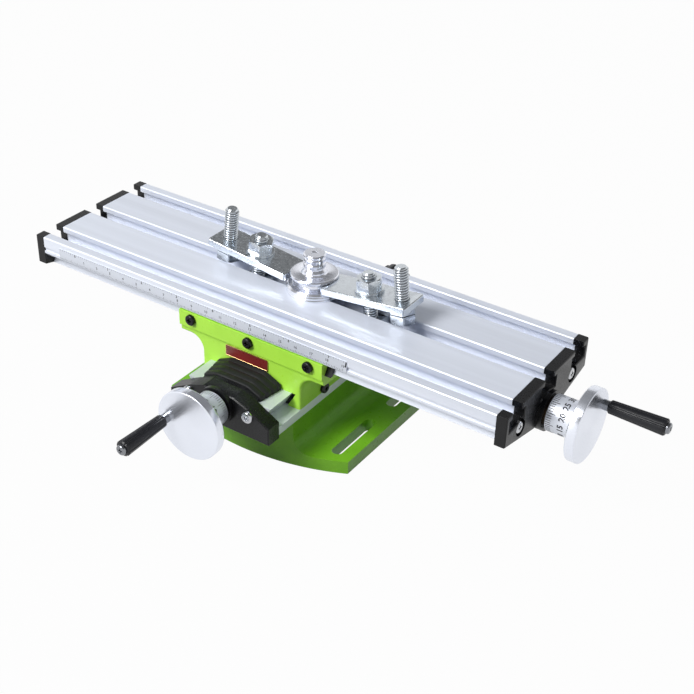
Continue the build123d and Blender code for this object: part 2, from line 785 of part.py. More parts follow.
with BuildPart() as y_nut:
    nut_low = rail_bottom + rail_channel_floor + nut_floor_gap
    with BuildSketch(Plane((0, saddle_offset_y, nut_low))):
        Rectangle(y_nut_width, nut_length)
    extrude(amount=rail_top + nut_seat - nut_low)
    with BuildSketch(y_axle.at(-saddle_offset_y - nut_length / 2)):
        Circle(screw_radius + run_gap)
    extrude(amount=nut_length, mode=Mode.SUBTRACT)
save(y_nut, "y_nut")

# Gib strips between the dovetails and the saddle
with BuildPart() as x_gib:
    with BuildSketch(Plane.YZ.offset(x_gib_shift)):
        with BuildLine():
            inner = saddle_offset_y - slide_gap
            outer = inner - gib_run
            low = table_foot_z + slide_gap
            high = saddle_top - slide_gap
            Polyline(
                (inner - table_flank(low), low), (inner - table_flank(high), high),
                (outer - table_flank(high), high), (outer - table_flank(low), low),
                close=True)
        make_face()
    extrude(amount=x_gib_length / 2, both=True)
save(x_gib, "x_gib")

with BuildPart() as y_gib:
    with BuildSketch(saddle_plane):
        with BuildLine():
            inner = slide_gap
            outer = inner + gib_run
            low = saddle_bottom + slide_gap
            high = rail_top - slide_gap
            Polyline(
                (inner + rail_flank(low), low), (inner + rail_flank(high), high),
                (outer + rail_flank(high), high), (outer + rail_flank(low), low),
                close=True)
        make_face()
    extrude(amount=y_gib_length / 2, both=True)
save(y_gib, "y_gib")


def gib_screws(plane, places, length):
    """Pan head screws with a slot and a coned tip that bears on the gib."""
    with BuildPart() as shape:
        cone = gib_screw_radius - gib_tip_radius
        with BuildSketch(plane):
            with Locations(*places):
                Circle(gib_head_radius)
        extrude(amount=gib_head_height)
        fillet(faces().group_by(Axis(plane.origin, plane.z_dir))[-1].edges(), gib_head_round)
        with BuildSketch(plane):
            with Locations(*places):
                Circle(gib_screw_radius)
        extrude(amount=-length)
        chamfer(faces().group_by(Axis(plane.origin, plane.z_dir))[0].edges(), cone)
        with BuildSketch(plane.offset(gib_head_height)):
            with Locations(*places):
                Rectangle(gib_recess_length, recess_width)
                Rectangle(recess_width, gib_recess_length)
        extrude(amount=-cross_recess_depth, mode=Mode.SUBTRACT)
    return shape


gib_row = saddle_top - x_gib_screw_drop
x_gib_bearing = table_flank(gib_row) + slide_gap + gib_run + gib_tip_radius / slope + run_gap
x_gib_screws = gib_screws(Plane.XZ.offset(saddle_length / 2 - saddle_offset_y),
                          [(-x_gib_screw_pitch, gib_row), (0, gib_row), (x_gib_screw_pitch, gib_row)],
                          saddle_length / 2 - x_gib_bearing)
save(x_gib_screws, "x_gib_screws")

y_gib_row = saddle_bottom + y_gib_screw_rise
y_gib_bearing = rail_flank(y_gib_row) + slide_gap + gib_run + gib_tip_radius / slope + run_gap
y_gib_screws = gib_screws(Plane.YZ.offset(saddle_leg_width / 2),
                          [(y_gib_middle - y_gib_screw_pitch / 2, y_gib_row),
                          (y_gib_middle + y_gib_screw_pitch / 2, y_gib_row)],
                          saddle_leg_width / 2 - y_gib_bearing)
save(y_gib_screws, "y_gib_screws")

# Lock behind the table: a stud through the rear jaw with a round knob
lock_z = saddle_top - lock_drop
lock_axle = Axle((lock_x, saddle_offset_y, lock_z), (1, 0, 0), (0, 1, 0))
with BuildPart() as x_lock_stud:
    tip = table_flank(lock_z) + lock_stud_radius / slope + seat_gap
    with BuildSketch(lock_axle.at(tip)):
        Circle(lock_stud_radius)
    extrude(amount=saddle_length / 2 + lock_neck_length + lock_knob_thick - lock_knob_cover - tip)
    chamfer(faces().sort_by(Axis.Y)[0].edges(), lock_edge)
save(x_lock_stud, "x_lock_stud")

with BuildPart() as x_lock_knob:
    knob_start = saddle_length / 2 + seat_gap
    lobe_circle = lock_knob_radius + lock_knob_lobe_radius - lock_knob_lobe_depth
    with BuildSketch(lock_axle.at(knob_start + lock_neck_length)):
        Circle(lock_knob_radius)
        with PolarLocations(lobe_circle, lock_knob_lobes):
            Circle(lock_knob_lobe_radius, mode=Mode.SUBTRACT)
    extrude(amount=lock_knob_thick)
    chamfer(faces().sort_by(Axis.Y)[-1].edges(), lock_edge)
    with BuildSketch(lock_axle.at(knob_start)):
        Circle(lock_neck_radius)
    extrude(amount=lock_neck_length)
    with BuildSketch(lock_axle.at(knob_start)):
        Circle(lock_stud_radius + run_gap)
    extrude(amount=lock_neck_length + lock_knob_thick - lock_knob_cover, mode=Mode.SUBTRACT)
save(x_lock_knob, "x_lock_knob")


def slot_cuts():
    """The three T-slots as sketch cuts, in the table's YZ section."""
    for row in (-1, 0, 1):
        centre = saddle_offset_y + row * slot_pitch
        with Locations((centre, table_top)):
            Rectangle(slot_opening, slot_depth, align=(Align.CENTER, Align.MAX), mode=Mode.SUBTRACT)
        with Locations((centre, table_top - slot_lip)):
            Rectangle(slot_wide, slot_depth - slot_lip, align=(Align.CENTER, Align.MAX), mode=Mode.SUBTRACT)


# Table: one extrusion with T-slots, side grooves, a dovetail with blunt feet and a screw channel
with BuildPart() as table_extrusion:
    with BuildSketch(Plane.YZ):
        with BuildLine():
            front = saddle_offset_y - table_width / 2
            back = saddle_offset_y + table_width / 2
            neck = table_neck / 2
            toe_z = table_foot_z + table_foot_bevel_rise
            toe = table_flank(toe_z)
            foot = toe - table_foot_bevel_run
            step_z = table_neck_z + wing_rebate
            Polyline(
                (front, table_top), (back, table_top), (back, step_z), (back - wing_rebate, step_z),
                (back - wing_rebate, table_neck_z), (saddle_offset_y + neck, table_neck_z),
                (saddle_offset_y + toe, toe_z), (saddle_offset_y + foot, table_foot_z),
                (saddle_offset_y - foot, table_foot_z), (saddle_offset_y - toe, toe_z),
                (saddle_offset_y - neck, table_neck_z), (front + wing_rebate, table_neck_z),
                (front + wing_rebate, step_z), (front, step_z),
                close=True)
        make_face()
        slot_cuts()
        with Locations((saddle_offset_y, table_foot_z)):
            Rectangle(screw_channel_width, screw_channel_depth, align=(Align.CENTER, Align.MIN),
                      mode=Mode.SUBTRACT)
        for face in (front, back):
            with Locations((face, table_top - side_groove_drop)):
                Rectangle(2 * side_groove_depth, side_groove_height, align=(Align.CENTER, Align.MAX),
                          mode=Mode.SUBTRACT)
    extrude(amount=table_length / 2, both=True)
    rims = table_extrusion.faces().sort_by(Axis.Z)[-4:].edges().filter_by(Axis.X)
    chamfer(rims, slot_edge)
    for end in (-1, 1):
        with BuildSketch(Plane.YZ.offset(end * table_length / 2)):
            with Locations((saddle_offset_y - cap_screw_y, table_top - cap_screw_drop),
                           (saddle_offset_y + cap_screw_y, table_top - cap_screw_drop)):
                Circle(cross_screw_radius + run_gap)
        extrude(amount=-end * cross_screw_length, mode=Mode.SUBTRACT)
save(table_extrusion, "table_extrusion")

with BuildPart() as ruler_strip:
    with BuildSketch(Plane.XZ.offset(table_width / 2 - saddle_offset_y)):
        with Locations((ruler_start, table_top - ruler_drop)):
            Rectangle(ruler_length, ruler_height, align=(Align.MIN, Align.MAX))
    extrude(amount=ruler_thick)
save(ruler_strip, "ruler_strip")

# End caps: the T-slots run out through them, and each has a boss around the screw
for name, out in (("left_end_cap", -1), ("right_end_cap", 1)):
    with BuildPart() as end_cap:
        with BuildSketch(Plane.YZ.offset(out * table_length / 2)):
            with BuildLine():
                y0 = saddle_offset_y
                wide = table_width / 2
                corner = table_top - cap_corner_drop
                knee = table_top - cap_knee_drop
                foot = table_top - cap_foot_drop
                Polyline(
                    (y0 - wide, table_top), (y0 + wide, table_top), (y0 + wide, corner),
                    (y0 + cap_knee_y, knee), (y0 + cap_foot_y, foot),
                    (y0 - cap_foot_y, foot), (y0 - cap_knee_y, knee), (y0 - wide, corner),
                    close=True)
            make_face()
            slot_cuts()
            with Locations((y0, x_screw_z)):
                Circle(boss_radius)
        extrude(amount=out * cap_thick)
        outside = end_cap.faces().sort_by(Axis.X)[-1 if out > 0 else 0]
        chamfer(outside.outer_wire().edges(), cap_edge)
        with BuildSketch(Plane.YZ.offset(out * cap_outer)):
            with Locations((saddle_offset_y, x_screw_z)):
                Circle(boss_radius)
        extrude(amount=out * boss_height)
        with BuildSketch(Plane.YZ.offset(out * table_length / 2)):
            with Locations((saddle_offset_y, x_screw_z)):
                Circle(bushing_radius + run_gap)
        extrude(amount=out * (cap_thick + boss_height), mode=Mode.SUBTRACT)
        with BuildSketch(Plane.YZ.offset(out * table_length / 2)):
            with Locations((saddle_offset_y - cap_screw_y, table_top - cap_screw_drop),
                           (saddle_offset_y + cap_screw_y, table_top - cap_screw_drop)):
                Circle(cross_screw_radius + run_gap)
        extrude(amount=out * cap_thick, mode=Mode.SUBTRACT)
        with BuildSketch(Plane.YZ.offset(out * cap_outer)):
            with Locations((saddle_offset_y - cap_screw_y, table_top - cap_screw_drop),
                           (saddle_offset_y + cap_screw_y, table_top - cap_screw_drop)):
                Circle(cap_recess_radius)
        extrude(amount=-out * cap_recess_depth, mode=Mode.SUBTRACT)
    save(end_cap, name)

for name, out in (("left_cap_screws", -1), ("right_cap_screws", 1)):
    seat = cap_outer - cap_recess_depth
    screw_plane = Plane(origin=(out * seat, 0, 0), x_dir=(0, 1, 0), z_dir=(out, 0, 0))
    row = out * (table_top - cap_screw_drop)
    places = [(saddle_offset_y - cap_screw_y, row), (saddle_offset_y + cap_screw_y, row)]
    shank = cap_thick - cap_recess_depth + cross_screw_length - shaft_spare
    cap_screws = cross_screws(screw_plane, places, shank)
    save(cap_screws, name)

for name, out in (("left_bushing", -1), ("right_bushing", 1)):
    with BuildPart() as bushing:
        with BuildSketch(Plane.YZ.offset(out * table_length / 2)):
            with Locations((saddle_offset_y, x_screw_z)):
                Circle(bushing_radius)
                Circle(journal_radius + run_gap, mode=Mode.SUBTRACT)
        extrude(amount=out * (cap_thick + boss_height))
    save(bushing, name)


def strap_plane(side, end_x):
    """Frame of a strap: x runs from its outer end to the workpiece, z is its upward normal."""
    lean = radians(strap_pitch)
    return Plane(origin=(end_x, saddle_offset_y, table_top + strap_end_height),
                 x_dir=(side * cos(lean), 0, -sin(lean)), z_dir=(side * sin(lean), 0, cos(lean)))


def hex_outline(flat):
    RegularPolygon(flat / 2, 6, major_radius=False)


# Each clamp: T-bolt, strap, washer and nut, with a jack bolt and its nut at the strap's outer end
clamps = (("left", 1, left_strap_end_x, left_bolt_place, left_jack_place),
          ("right", -1, right_strap_end_x, right_bolt_place, right_jack_place))
for prefix, side, end_x, bolt_place, jack_place in clamps:
    top = strap_plane(side, end_x)
    lean = radians(strap_pitch)
    bolt_height = strap_end_height - bolt_place * sin(lean)
    t_head_top = -(bolt_height + slot_lip + t_head_length / 2 * sin(lean) + seat_gap) / cos(lean)
    jack_height = strap_end_height - jack_place * sin(lean)
    jack_foot = -(jack_height - hex_flat / 2 * sin(lean) - seat_gap) / cos(lean)
    with BuildPart() as strap:
        with BuildSketch(top):
            with Locations((strap_length / 2, 0)):
                RectangleRounded(strap_length, strap_width, strap_corner)
            with Locations(((strap_slot_start + strap_slot_end) / 2, 0)):
                SlotOverall(strap_slot_end - strap_slot_start, strap_slot_width, mode=Mode.SUBTRACT)
            with Locations((jack_place, 0)):
                Circle(clamp_bolt_radius + run_gap, mode=Mode.SUBTRACT)
        extrude(amount=-strap_thick)
        chamfer(strap.faces().sort_by(Axis(top.origin, top.z_dir))[-1].outer_wire().edges(), strap_edge)
    save(strap, prefix + "_strap")
    with BuildPart() as washer:
        with BuildSketch(top):
            with Locations((bolt_place, 0)):
                Circle(washer_radius)
                Circle(clamp_bolt_radius + washer_play, mode=Mode.SUBTRACT)
        extrude(amount=washer_thick)
    save(washer, prefix + "_washer")
    with BuildPart() as nut:
        with BuildSketch(top.offset(washer_thick)):
            with Locations((bolt_place, 0)):
                hex_outline(hex_flat)
        extrude(amount=clamp_nut_height)
        with BuildSketch(top.offset(washer_thick + clamp_nut_height)):
            with Locations((bolt_place, 0)):
                Circle(hex_flat / 2)
        extrude(amount=-clamp_nut_height - hex_cone_run, taper=hex_cone, mode=Mode.INTERSECT)
        with BuildSketch(top.offset(washer_thick)):
            with Locations((bolt_place, 0)):
                Circle(clamp_bolt_radius + run_gap)
        extrude(amount=clamp_nut_height, mode=Mode.SUBTRACT)
    save(nut, prefix + "_nut")
    with BuildPart() as t_bolt:
        with BuildSketch(top.offset(clamp_bolt_top)):
            with Locations((bolt_place, 0)):
                Circle(clamp_bolt_radius)
        extrude(amount=t_head_top - clamp_bolt_top)
        chamfer(t_bolt.faces().sort_by(Axis(top.origin, top.z_dir))[-1].edges(), clamp_bolt_edge)
        with BuildSketch(top.offset(t_head_top)):
            with Locations((bolt_place, 0)):
                Rectangle(t_head_length, t_head_width)
        extrude(amount=-t_head_height)
    save(t_bolt, prefix + "_t_bolt")
    with BuildPart() as jack_bolt:
        with BuildSketch(top.offset(jack_foot)):
            with Locations((jack_place, 0)):
                hex_outline(hex_flat)
        extrude(amount=jack_head_height)
        with BuildSketch(top.offset(jack_foot)):
            with Locations((jack_place, 0)):
                Circle(hex_flat / 2)
        extrude(amount=jack_head_height + hex_cone_run, taper=hex_cone, mode=Mode.INTERSECT)
        with BuildSketch(top.offset(jack_foot + jack_head_height)):
            with Locations((jack_place, 0)):
                Circle(clamp_bolt_radius)
        extrude(amount=jack_top - jack_foot - jack_head_height)
        chamfer(jack_bolt.faces().sort_by(Axis(top.origin, top.z_dir))[-1].edges(), clamp_bolt_edge)
    save(jack_bolt, prefix + "_jack_bolt")
    with BuildPart() as jack_nut:
        with BuildSketch(top.offset(-strap_thick - run_gap)):
            with Locations((jack_place, 0)):
                hex_outline(hex_flat)
                Circle(clamp_bolt_radius + run_gap, mode=Mode.SUBTRACT)
        extrude(amount=-jack_nut_height)
    save(jack_nut, prefix + "_jack_nut")

# Workpiece: a turned stepped part with a flange, a ring and a stub
with BuildPart() as workpiece:
    with BuildSketch(Plane((work_x, saddle_offset_y, table_top), x_dir=(1, 0, 0), z_dir=(0, -1, 0))):
        with BuildLine():
            Polyline(
                (0, run_gap), (work_flange_radius, run_gap),
                (work_flange_radius, work_flange_height - work_edge),
                (work_flange_radius - work_edge, work_flange_height),
                (work_groove_radius, work_flange_height),
                (work_groove_radius, work_ring_bottom), (work_ring_radius, work_ring_bottom),
                (work_ring_radius, work_ring_top), (work_drum_radius + work_edge, work_ring_top),
                (work_drum_radius, work_ring_top + work_edge), (work_drum_radius, work_drum_top),
                (work_stub_radius, work_drum_top + work_edge),
                (work_stub_radius, work_neck_top - work_neck_height),
                (work_neck_radius, work_neck_top - work_neck_height), (work_neck_radius, work_neck_top),
                (work_stub_radius, work_neck_top), (work_stub_radius, work_height),
                (work_centre_radius, work_height), (0, work_height - work_centre_depth),
                close=True)
        make_face()
    revolve(axis=Axis((work_x, saddle_offset_y, 0), (0, 0, 1)))
save(workpiece, "workpiece")
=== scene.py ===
# %% [markdown]
# # A small cross slide vise
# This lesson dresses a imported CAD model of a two-axis slide: a slotted aluminium table on a cast saddle,
# which rides on an aluminium rail and a cast base. Two lead screws with crank handwheels move it, and two
# strap clamps hold a turned part. The solids are right already, so Blender's work is the finish: paint,
# metal, edges, threads, the ruler and the dials.

# %% Load the frame
import json
import math

import bmesh
import bpy
from mathutils import Matrix, Vector


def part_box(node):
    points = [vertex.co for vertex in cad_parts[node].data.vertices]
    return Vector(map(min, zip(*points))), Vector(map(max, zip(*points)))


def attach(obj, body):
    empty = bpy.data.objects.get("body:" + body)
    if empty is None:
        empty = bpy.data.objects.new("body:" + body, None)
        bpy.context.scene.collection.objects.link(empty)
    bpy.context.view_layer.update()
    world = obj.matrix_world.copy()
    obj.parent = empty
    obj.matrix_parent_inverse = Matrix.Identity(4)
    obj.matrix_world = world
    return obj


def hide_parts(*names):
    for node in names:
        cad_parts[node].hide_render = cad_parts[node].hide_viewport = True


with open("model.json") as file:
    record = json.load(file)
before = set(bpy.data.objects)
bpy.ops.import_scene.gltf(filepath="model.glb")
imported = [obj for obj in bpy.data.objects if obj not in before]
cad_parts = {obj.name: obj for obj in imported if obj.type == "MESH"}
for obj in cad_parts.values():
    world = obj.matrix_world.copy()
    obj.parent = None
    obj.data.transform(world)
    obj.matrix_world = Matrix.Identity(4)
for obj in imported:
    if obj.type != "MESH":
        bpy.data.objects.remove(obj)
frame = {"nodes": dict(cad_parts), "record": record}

scene = bpy.context.scene
nodes = frame["nodes"]
bodies = frame["record"]["behaviour"]["bodies"]
body_of = {node: body for body, members in bodies.items() for node in members}
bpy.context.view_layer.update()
MM = 0.001


def show(name, data):
    """A new object of this data in the scene, at the origin."""
    obj = bpy.data.objects.new(name, data)
    scene.collection.objects.link(obj)
    return obj


# %% [markdown]
# ## The camera
# A photograph fixes the camera's place, its turn and its lens. These were fitted to the table's edges, whose
# real sizes are known. Blender's camera looks down its own -Z, so its matrix is built from three directions:
# right, up and back. A small roll is part of the turn.

# %% Camera
azimuth = math.radians(33.15)
elevation = math.radians(32.87)
roll = math.radians(1.71)
camera_place = Vector((362.7, -513.6, 439.7))
focal_pixels = 1290.26
photo_pixels = 694
film_width = 36

forward_share = math.cos(elevation)
back = Vector((math.sin(azimuth) * forward_share, -math.cos(azimuth) * forward_share, math.sin(elevation)))
level = Vector((0, 0, 1)).cross(back).normalized()
upright = back.cross(level)
right = math.cos(roll) * level + math.sin(roll) * upright
up = math.cos(roll) * upright - math.sin(roll) * level
camera_data = bpy.data.cameras.new("camera")
camera_data.sensor_width = film_width
camera_data.lens = film_width * focal_pixels / photo_pixels
camera = show("camera", camera_data)
camera.matrix_world = Matrix((right, up, back)).transposed().to_4x4()
camera.location = camera_place * MM
scene.camera = camera
print("lens:", round(camera_data.lens, 2), "mm")

# %% [markdown]
# ## The studio's light
# The object was photographed on a white sweep with one large soft light at the front left, so the paint under
# the table falls into deep shade while the metal still mirrors white. Three kinds of ray need three answers:
# the camera sees plain white, a mirror ray sees white walls up to a darker ceiling, and soft light comes dimly
# from overhead and fades to nothing at the horizon. Without the ceiling every bit of metal would reflect the
# same white and look flat, and with soft light from the sides the shade under the table would fill up.

# %% World
ceiling_start = math.radians(26)
ceiling_full = math.radians(32)
ceiling_shine = 0.17
overhead_light = 0.45
overhead_colour = (0.86, 0.92, 1.0)


def join(tree, source, target):
    """Links two sockets of one node tree."""
    tree.links.new(source, target)


scene.view_settings.view_transform = "Standard"
world = bpy.data.worlds.new("studio")
scene.world = world
world.use_nodes = True
sky = world.node_tree
sky.nodes.clear()
ray = sky.nodes.new("ShaderNodeLightPath")
direct = sky.nodes.new("ShaderNodeMath")
direct.operation = "MAXIMUM"
join(sky, ray.outputs["Is Camera Ray"], direct.inputs[0])
join(sky, ray.outputs["Is Transmission Ray"], direct.inputs[1])
direction = sky.nodes.new("ShaderNodeTexCoord")
parts = sky.nodes.new("ShaderNodeSeparateXYZ")
join(sky, direction.outputs["Generated"], parts.inputs[0])
rise = sky.nodes.new("ShaderNodeMapRange")
rise.interpolation_type = "SMOOTHSTEP"
rise.inputs["From Min"].default_value = math.sin(ceiling_start)
rise.inputs["From Max"].default_value = math.sin(ceiling_full)
rise.inputs["To Min"].default_value = 1.0
rise.inputs["To Max"].default_value = ceiling_shine
join(sky, parts.outputs["Z"], rise.inputs["Value"])
glow = sky.nodes.new("ShaderNodeMapRange")
glow.inputs["To Min"].default_value = 0.0
glow.inputs["To Max"].default_value = overhead_light
join(sky, parts.outputs["Z"], glow.inputs["Value"])


def backdrop(colour, strength=None):
    """A background of strength 1, or of the strength that another node gives."""
    node = sky.nodes.new("ShaderNodeBackground")
    node.inputs["Color"].default_value = (*colour, 1)
    if strength is not None:
        join(sky, strength, node.inputs["Strength"])
    return node


soft = backdrop(overhead_colour, glow.outputs["Result"])
white = backdrop((1, 1, 1))
walls = backdrop((1, 1, 1), rise.outputs["Result"])
mirrored = sky.nodes.new("ShaderNodeMixShader")
join(sky, ray.outputs["Is Glossy Ray"], mirrored.inputs["Fac"])
join(sky, soft.outputs[0], mirrored.inputs[1])
join(sky, walls.outputs[0], mirrored.inputs[2])
choose = sky.nodes.new("ShaderNodeMixShader")
join(sky, direct.outputs[0], choose.inputs["Fac"])
join(sky, mirrored.outputs[0], choose.inputs[1])
join(sky, white.outputs[0], choose.inputs[2])
sky_out = sky.nodes.new("ShaderNodeOutputWorld")
join(sky, choose.outputs[0], sky_out.inputs["Surface"])
print("world nodes:", len(sky.nodes))

# %% Lamps
lamp_target = Vector((0, 0, 0.05))


def lamp(name, place, size, power):
    """A square area lamp aimed at the middle of the object."""
    data = bpy.data.lights.new(name, "AREA")
    data.size = size
    data.energy = power
    obj = show(name, data)
    obj.location = place
    obj.rotation_euler = (Vector(place) - lamp_target).to_track_quat("Z", "Y").to_euler()


lamp("key_lamp", (-0.42, -0.95, 1.05), 0.6, 20.5)
lamp("fill_lamp", (1.3, -0.5, 1.0), 0.9, 0.5)
print("lamps:", len(bpy.data.lights))

# %% [markdown]
# ## The paper floor
# In the photograph the paper is burnt out to white and shows next to no shadow. A grey sheet that the camera
# and the mirror rays see almost wholly as white gives the same: it takes the lamp's light as grey, so little
# of it comes back up under the table, and only a trace of the contact shadow is left.

# %% Floor
floor_half = 3
paper_grey = (0.3, 0.305, 0.31)
paper_whiteness = 0.975

floor_mesh = bpy.data.meshes.new("floor")
floor_mesh.from_pydata([(x * floor_half, y * floor_half, 0) for x, y in ((-1, -1), (1, -1), (1, 1), (-1, 1))],
                       [], [(0, 1, 2, 3)])
floor = show("floor", floor_mesh)
paper = bpy.data.materials.new("backdrop_paper")
paper.use_nodes = True
paper_tree = paper.node_tree
paper_shade = paper_tree.nodes["Principled BSDF"]
paper_shade.inputs["Base Color"].default_value = (*paper_grey, 1)
paper_shade.inputs["Roughness"].default_value = 0.9
paper_ray = paper_tree.nodes.new("ShaderNodeLightPath")
paper_seen = paper_tree.nodes.new("ShaderNodeMath")
paper_seen.operation = "MAXIMUM"
paper_share = paper_tree.nodes.new("ShaderNodeMath")
paper_share.operation = "MULTIPLY"
paper_share.inputs[1].default_value = paper_whiteness
paper_white = paper_tree.nodes.new("ShaderNodeEmission")
paper_white.inputs["Strength"].default_value = 1.0
paper_mix = paper_tree.nodes.new("ShaderNodeMixShader")
join(paper_tree, paper_ray.outputs["Is Camera Ray"], paper_seen.inputs[0])
join(paper_tree, paper_ray.outputs["Is Glossy Ray"], paper_seen.inputs[1])
join(paper_tree, paper_seen.outputs[0], paper_share.inputs[0])
join(paper_tree, paper_share.outputs[0], paper_mix.inputs["Fac"])
join(paper_tree, paper_shade.outputs[0], paper_mix.inputs[1])
join(paper_tree, paper_white.outputs[0], paper_mix.inputs[2])
join(paper_tree, paper_mix.outputs[0], paper_tree.nodes["Material Output"].inputs["Surface"])
floor_mesh.materials.append(paper)
print("floor material:", paper.name)


# %% [markdown]
# ## Materials
# Each finish is one node tree on Object coordinates. Every object here sits at the origin, so those
# coordinates are the row's own metres, and a pattern runs on from one piece to the next. The helpers make
# the shader, its noise, its ramps and its bumps, so that each finish below is a few lines.

# %% Material helpers
def finish(name, colour, metallic=0.0, roughness=0.4, coat=0.0, specular=0.5):
    """A new material with its shader's constant sockets set."""
    material = bpy.data.materials.new(name)
    material.use_nodes = True
    shader = material.node_tree.nodes["Principled BSDF"]
    shader.inputs["Base Color"].default_value = (*colour, 1)
    shader.inputs["Metallic"].default_value = metallic
    shader.inputs["Roughness"].default_value = roughness
    shader.inputs["Specular IOR Level"].default_value = specular
    shader.inputs["Coat Weight"].default_value = coat
    shader.inputs["Coat Roughness"].default_value = 0.12
    return material


def noise(material, scale, detail=3.0, stretch=(1, 1, 1)):
    """Noise on Object coordinates; stretch below 1 draws it out along an axis."""
    tree = material.node_tree
    place = tree.nodes.new("ShaderNodeTexCoord")
    mapping = tree.nodes.new("ShaderNodeMapping")
    mapping.inputs["Scale"].default_value = stretch
    texture = tree.nodes.new("ShaderNodeTexNoise")
    texture.inputs["Scale"].default_value = scale
    texture.inputs["Detail"].default_value = detail
    join(tree, place.outputs["Object"], mapping.inputs["Vector"])
    join(tree, mapping.outputs["Vector"], texture.inputs["Vector"])
    return texture.outputs["Fac"]


def between(material, factor, low, high, start=0.3, end=0.7):
    """Maps a factor onto a range of numbers; noise keeps mostly between 0.3 and 0.7."""
    tree = material.node_tree
    node = tree.nodes.new("ShaderNodeMapRange")
    node.inputs["From Min"].default_value = start
    node.inputs["From Max"].default_value = end
    node.inputs["To Min"].default_value = low
    node.inputs["To Max"].default_value = high
    join(tree, factor, node.inputs["Value"])
    return node.outputs["Result"]


def ramp(material, factor, stops):
    """A colour ramp over a factor; its two stops are (place, colour)."""
    tree = material.node_tree
    node = tree.nodes.new("ShaderNodeValToRGB")
    for element, (place, colour) in zip(node.color_ramp.elements, stops):
        element.position = place
        element.color = (*colour, 1)
    join(tree, factor, node.inputs["Fac"])
    return node.outputs["Color"]


def bump(material, height, depth, strength=1.0, under=None):
    """Adds a bump of a depth in metres, over an earlier bump if one is given."""
    tree = material.node_tree
    node = tree.nodes.new("ShaderNodeBump")
    node.inputs["Strength"].default_value = strength
    node.inputs["Distance"].default_value = depth
    join(tree, height, node.inputs["Height"])
    if under is not None:
        join(tree, under, node.inputs["Normal"])
    return node.outputs["Normal"]


def into(material, socket, output):
    """Links an output to a socket of the material's shader."""
    tree = material.node_tree
    join(tree, output, tree.nodes["Principled BSDF"].inputs[socket])


def shaded(colour, share):
    """The colour made lighter or darker, and held to 1."""
    return tuple(min(1.0, channel * share) for channel in colour)


# %% [markdown]
# ### Enamel on cast iron
# The base and saddle are sand castings under a thick gloss enamel. The sand leaves a soft unevenness a few
# millimetres wide, and the enamel a fine orange peel on top. Two bumps at these two scales, under a thin clear
# coat, give the wet highlights that break up over the surface.

# %% Enamel
cloud_scale, sand_scale, peel_scale = 60, 420, 1500
sand_depth, peel_depth = 0.22 * MM, 0.05 * MM


def enamel(name, colour, deep):
    """Gloss paint over cast iron, a little deeper in patches."""
    material = finish(name, colour, roughness=0.36, coat=0.08, specular=0.22)
    cloud = noise(material, cloud_scale, 3)
    into(material, "Base Color", ramp(material, cloud, [(0.3, deep), (0.62, colour)]))
    sand = noise(material, sand_scale, 4)
    peel = noise(material, peel_scale, 2)
    into(material, "Roughness", between(material, sand, 0.26, 0.42))
    under = bump(material, sand, sand_depth, 0.5)
    into(material, "Normal", bump(material, peel, peel_depth, 0.5, under))
    return material


base_enamel = enamel("base_enamel", (0.20, 0.50, 0.024), (0.165, 0.44, 0.02))
saddle_enamel = enamel("saddle_enamel", (0.49, 0.90, 0.085), (0.45, 0.85, 0.075))
print("enamels:", base_enamel.name, saddle_enamel.name)


# %% [markdown]
# ### Drawn aluminium
# The table and the rail are extrusions: the die draws fine lines along their length. Noise that is
# stretched a hundredfold along the axis of drawing gives those lines in both roughness and bump. A part of
# the light comes back soft, because anodising scatters it, so the metal share is well below 1.

# %% Drawn aluminium
def drawn(name, colour, stretch, metallic):
    """Extruded aluminium with fine lines along the axis that stretch draws out."""
    material = finish(name, colour, metallic=metallic, roughness=0.44)
    lines = noise(material, 900, 4, stretch)
    broad = noise(material, 90, 3, stretch)
    into(material, "Base Color", ramp(material, broad, [(0.32, shaded(colour, 0.93)), (0.66, shaded(colour, 1.05))]))
    into(material, "Roughness", between(material, lines, 0.38, 0.54))
    into(material, "Normal", bump(material, lines, 0.02 * MM, 0.35))
    return material


table_metal = drawn("table_metal", (0.82, 0.855, 0.94), (0.01, 1, 1), 0.3)
rail_metal = drawn("rail_metal", (0.70, 0.75, 0.77), (1, 0.01, 1), 0.35)
print("extrusions:", table_metal.name, rail_metal.name)


# %% [markdown]
# ### Turned metal
# A lathe leaves rings round the axis of the work. Light on such rings spreads across them, which draws the
# bright and dark fan on each handwheel. The shader can do that if it knows which way the rings run, so the
# tangent is worked out as the cross product of the axle and the place on the face. Wave texture in its ring
# form adds the tool marks themselves. The dials are matter than the wheels, so that their figures can be read.

# %% Turned metal
def turned(name, colour, centre, axle, axis, ring_scale=900.0, roughness=(0.2, 0.34), fan=0.6, metallic=0.88):
    """Metal with rings round an axle through a centre; fan is how far light spreads across the rings."""
    material = finish(name, colour, metallic=metallic, roughness=0.25)
    tree = material.node_tree
    place = tree.nodes.new("ShaderNodeTexCoord")
    mapping = tree.nodes.new("ShaderNodeMapping")
    mapping.inputs["Location"].default_value = tuple(-c for c in centre)
    join(tree, place.outputs["Object"], mapping.inputs["Vector"])
    rings = tree.nodes.new("ShaderNodeTexWave")
    rings.wave_type = "RINGS"
    rings.rings_direction = axis
    rings.inputs["Scale"].default_value = ring_scale
    rings.inputs["Distortion"].default_value = 1.5
    rings.inputs["Detail"].default_value = 3
    rings.inputs["Detail Scale"].default_value = 60
    join(tree, mapping.outputs["Vector"], rings.inputs["Vector"])
    around = tree.nodes.new("ShaderNodeVectorMath")
    around.operation = "CROSS_PRODUCT"
    around.inputs[0].default_value = axle
    join(tree, mapping.outputs["Vector"], around.inputs[1])
    into(material, "Tangent", around.outputs[0])
    tree.nodes["Principled BSDF"].inputs["Anisotropic"].default_value = fan
    into(material, "Roughness", between(material, rings.outputs["Fac"], *roughness, 0.0, 1.0))
    into(material, "Normal", bump(material, rings.outputs["Fac"], 0.01 * MM, 0.3))
    return material


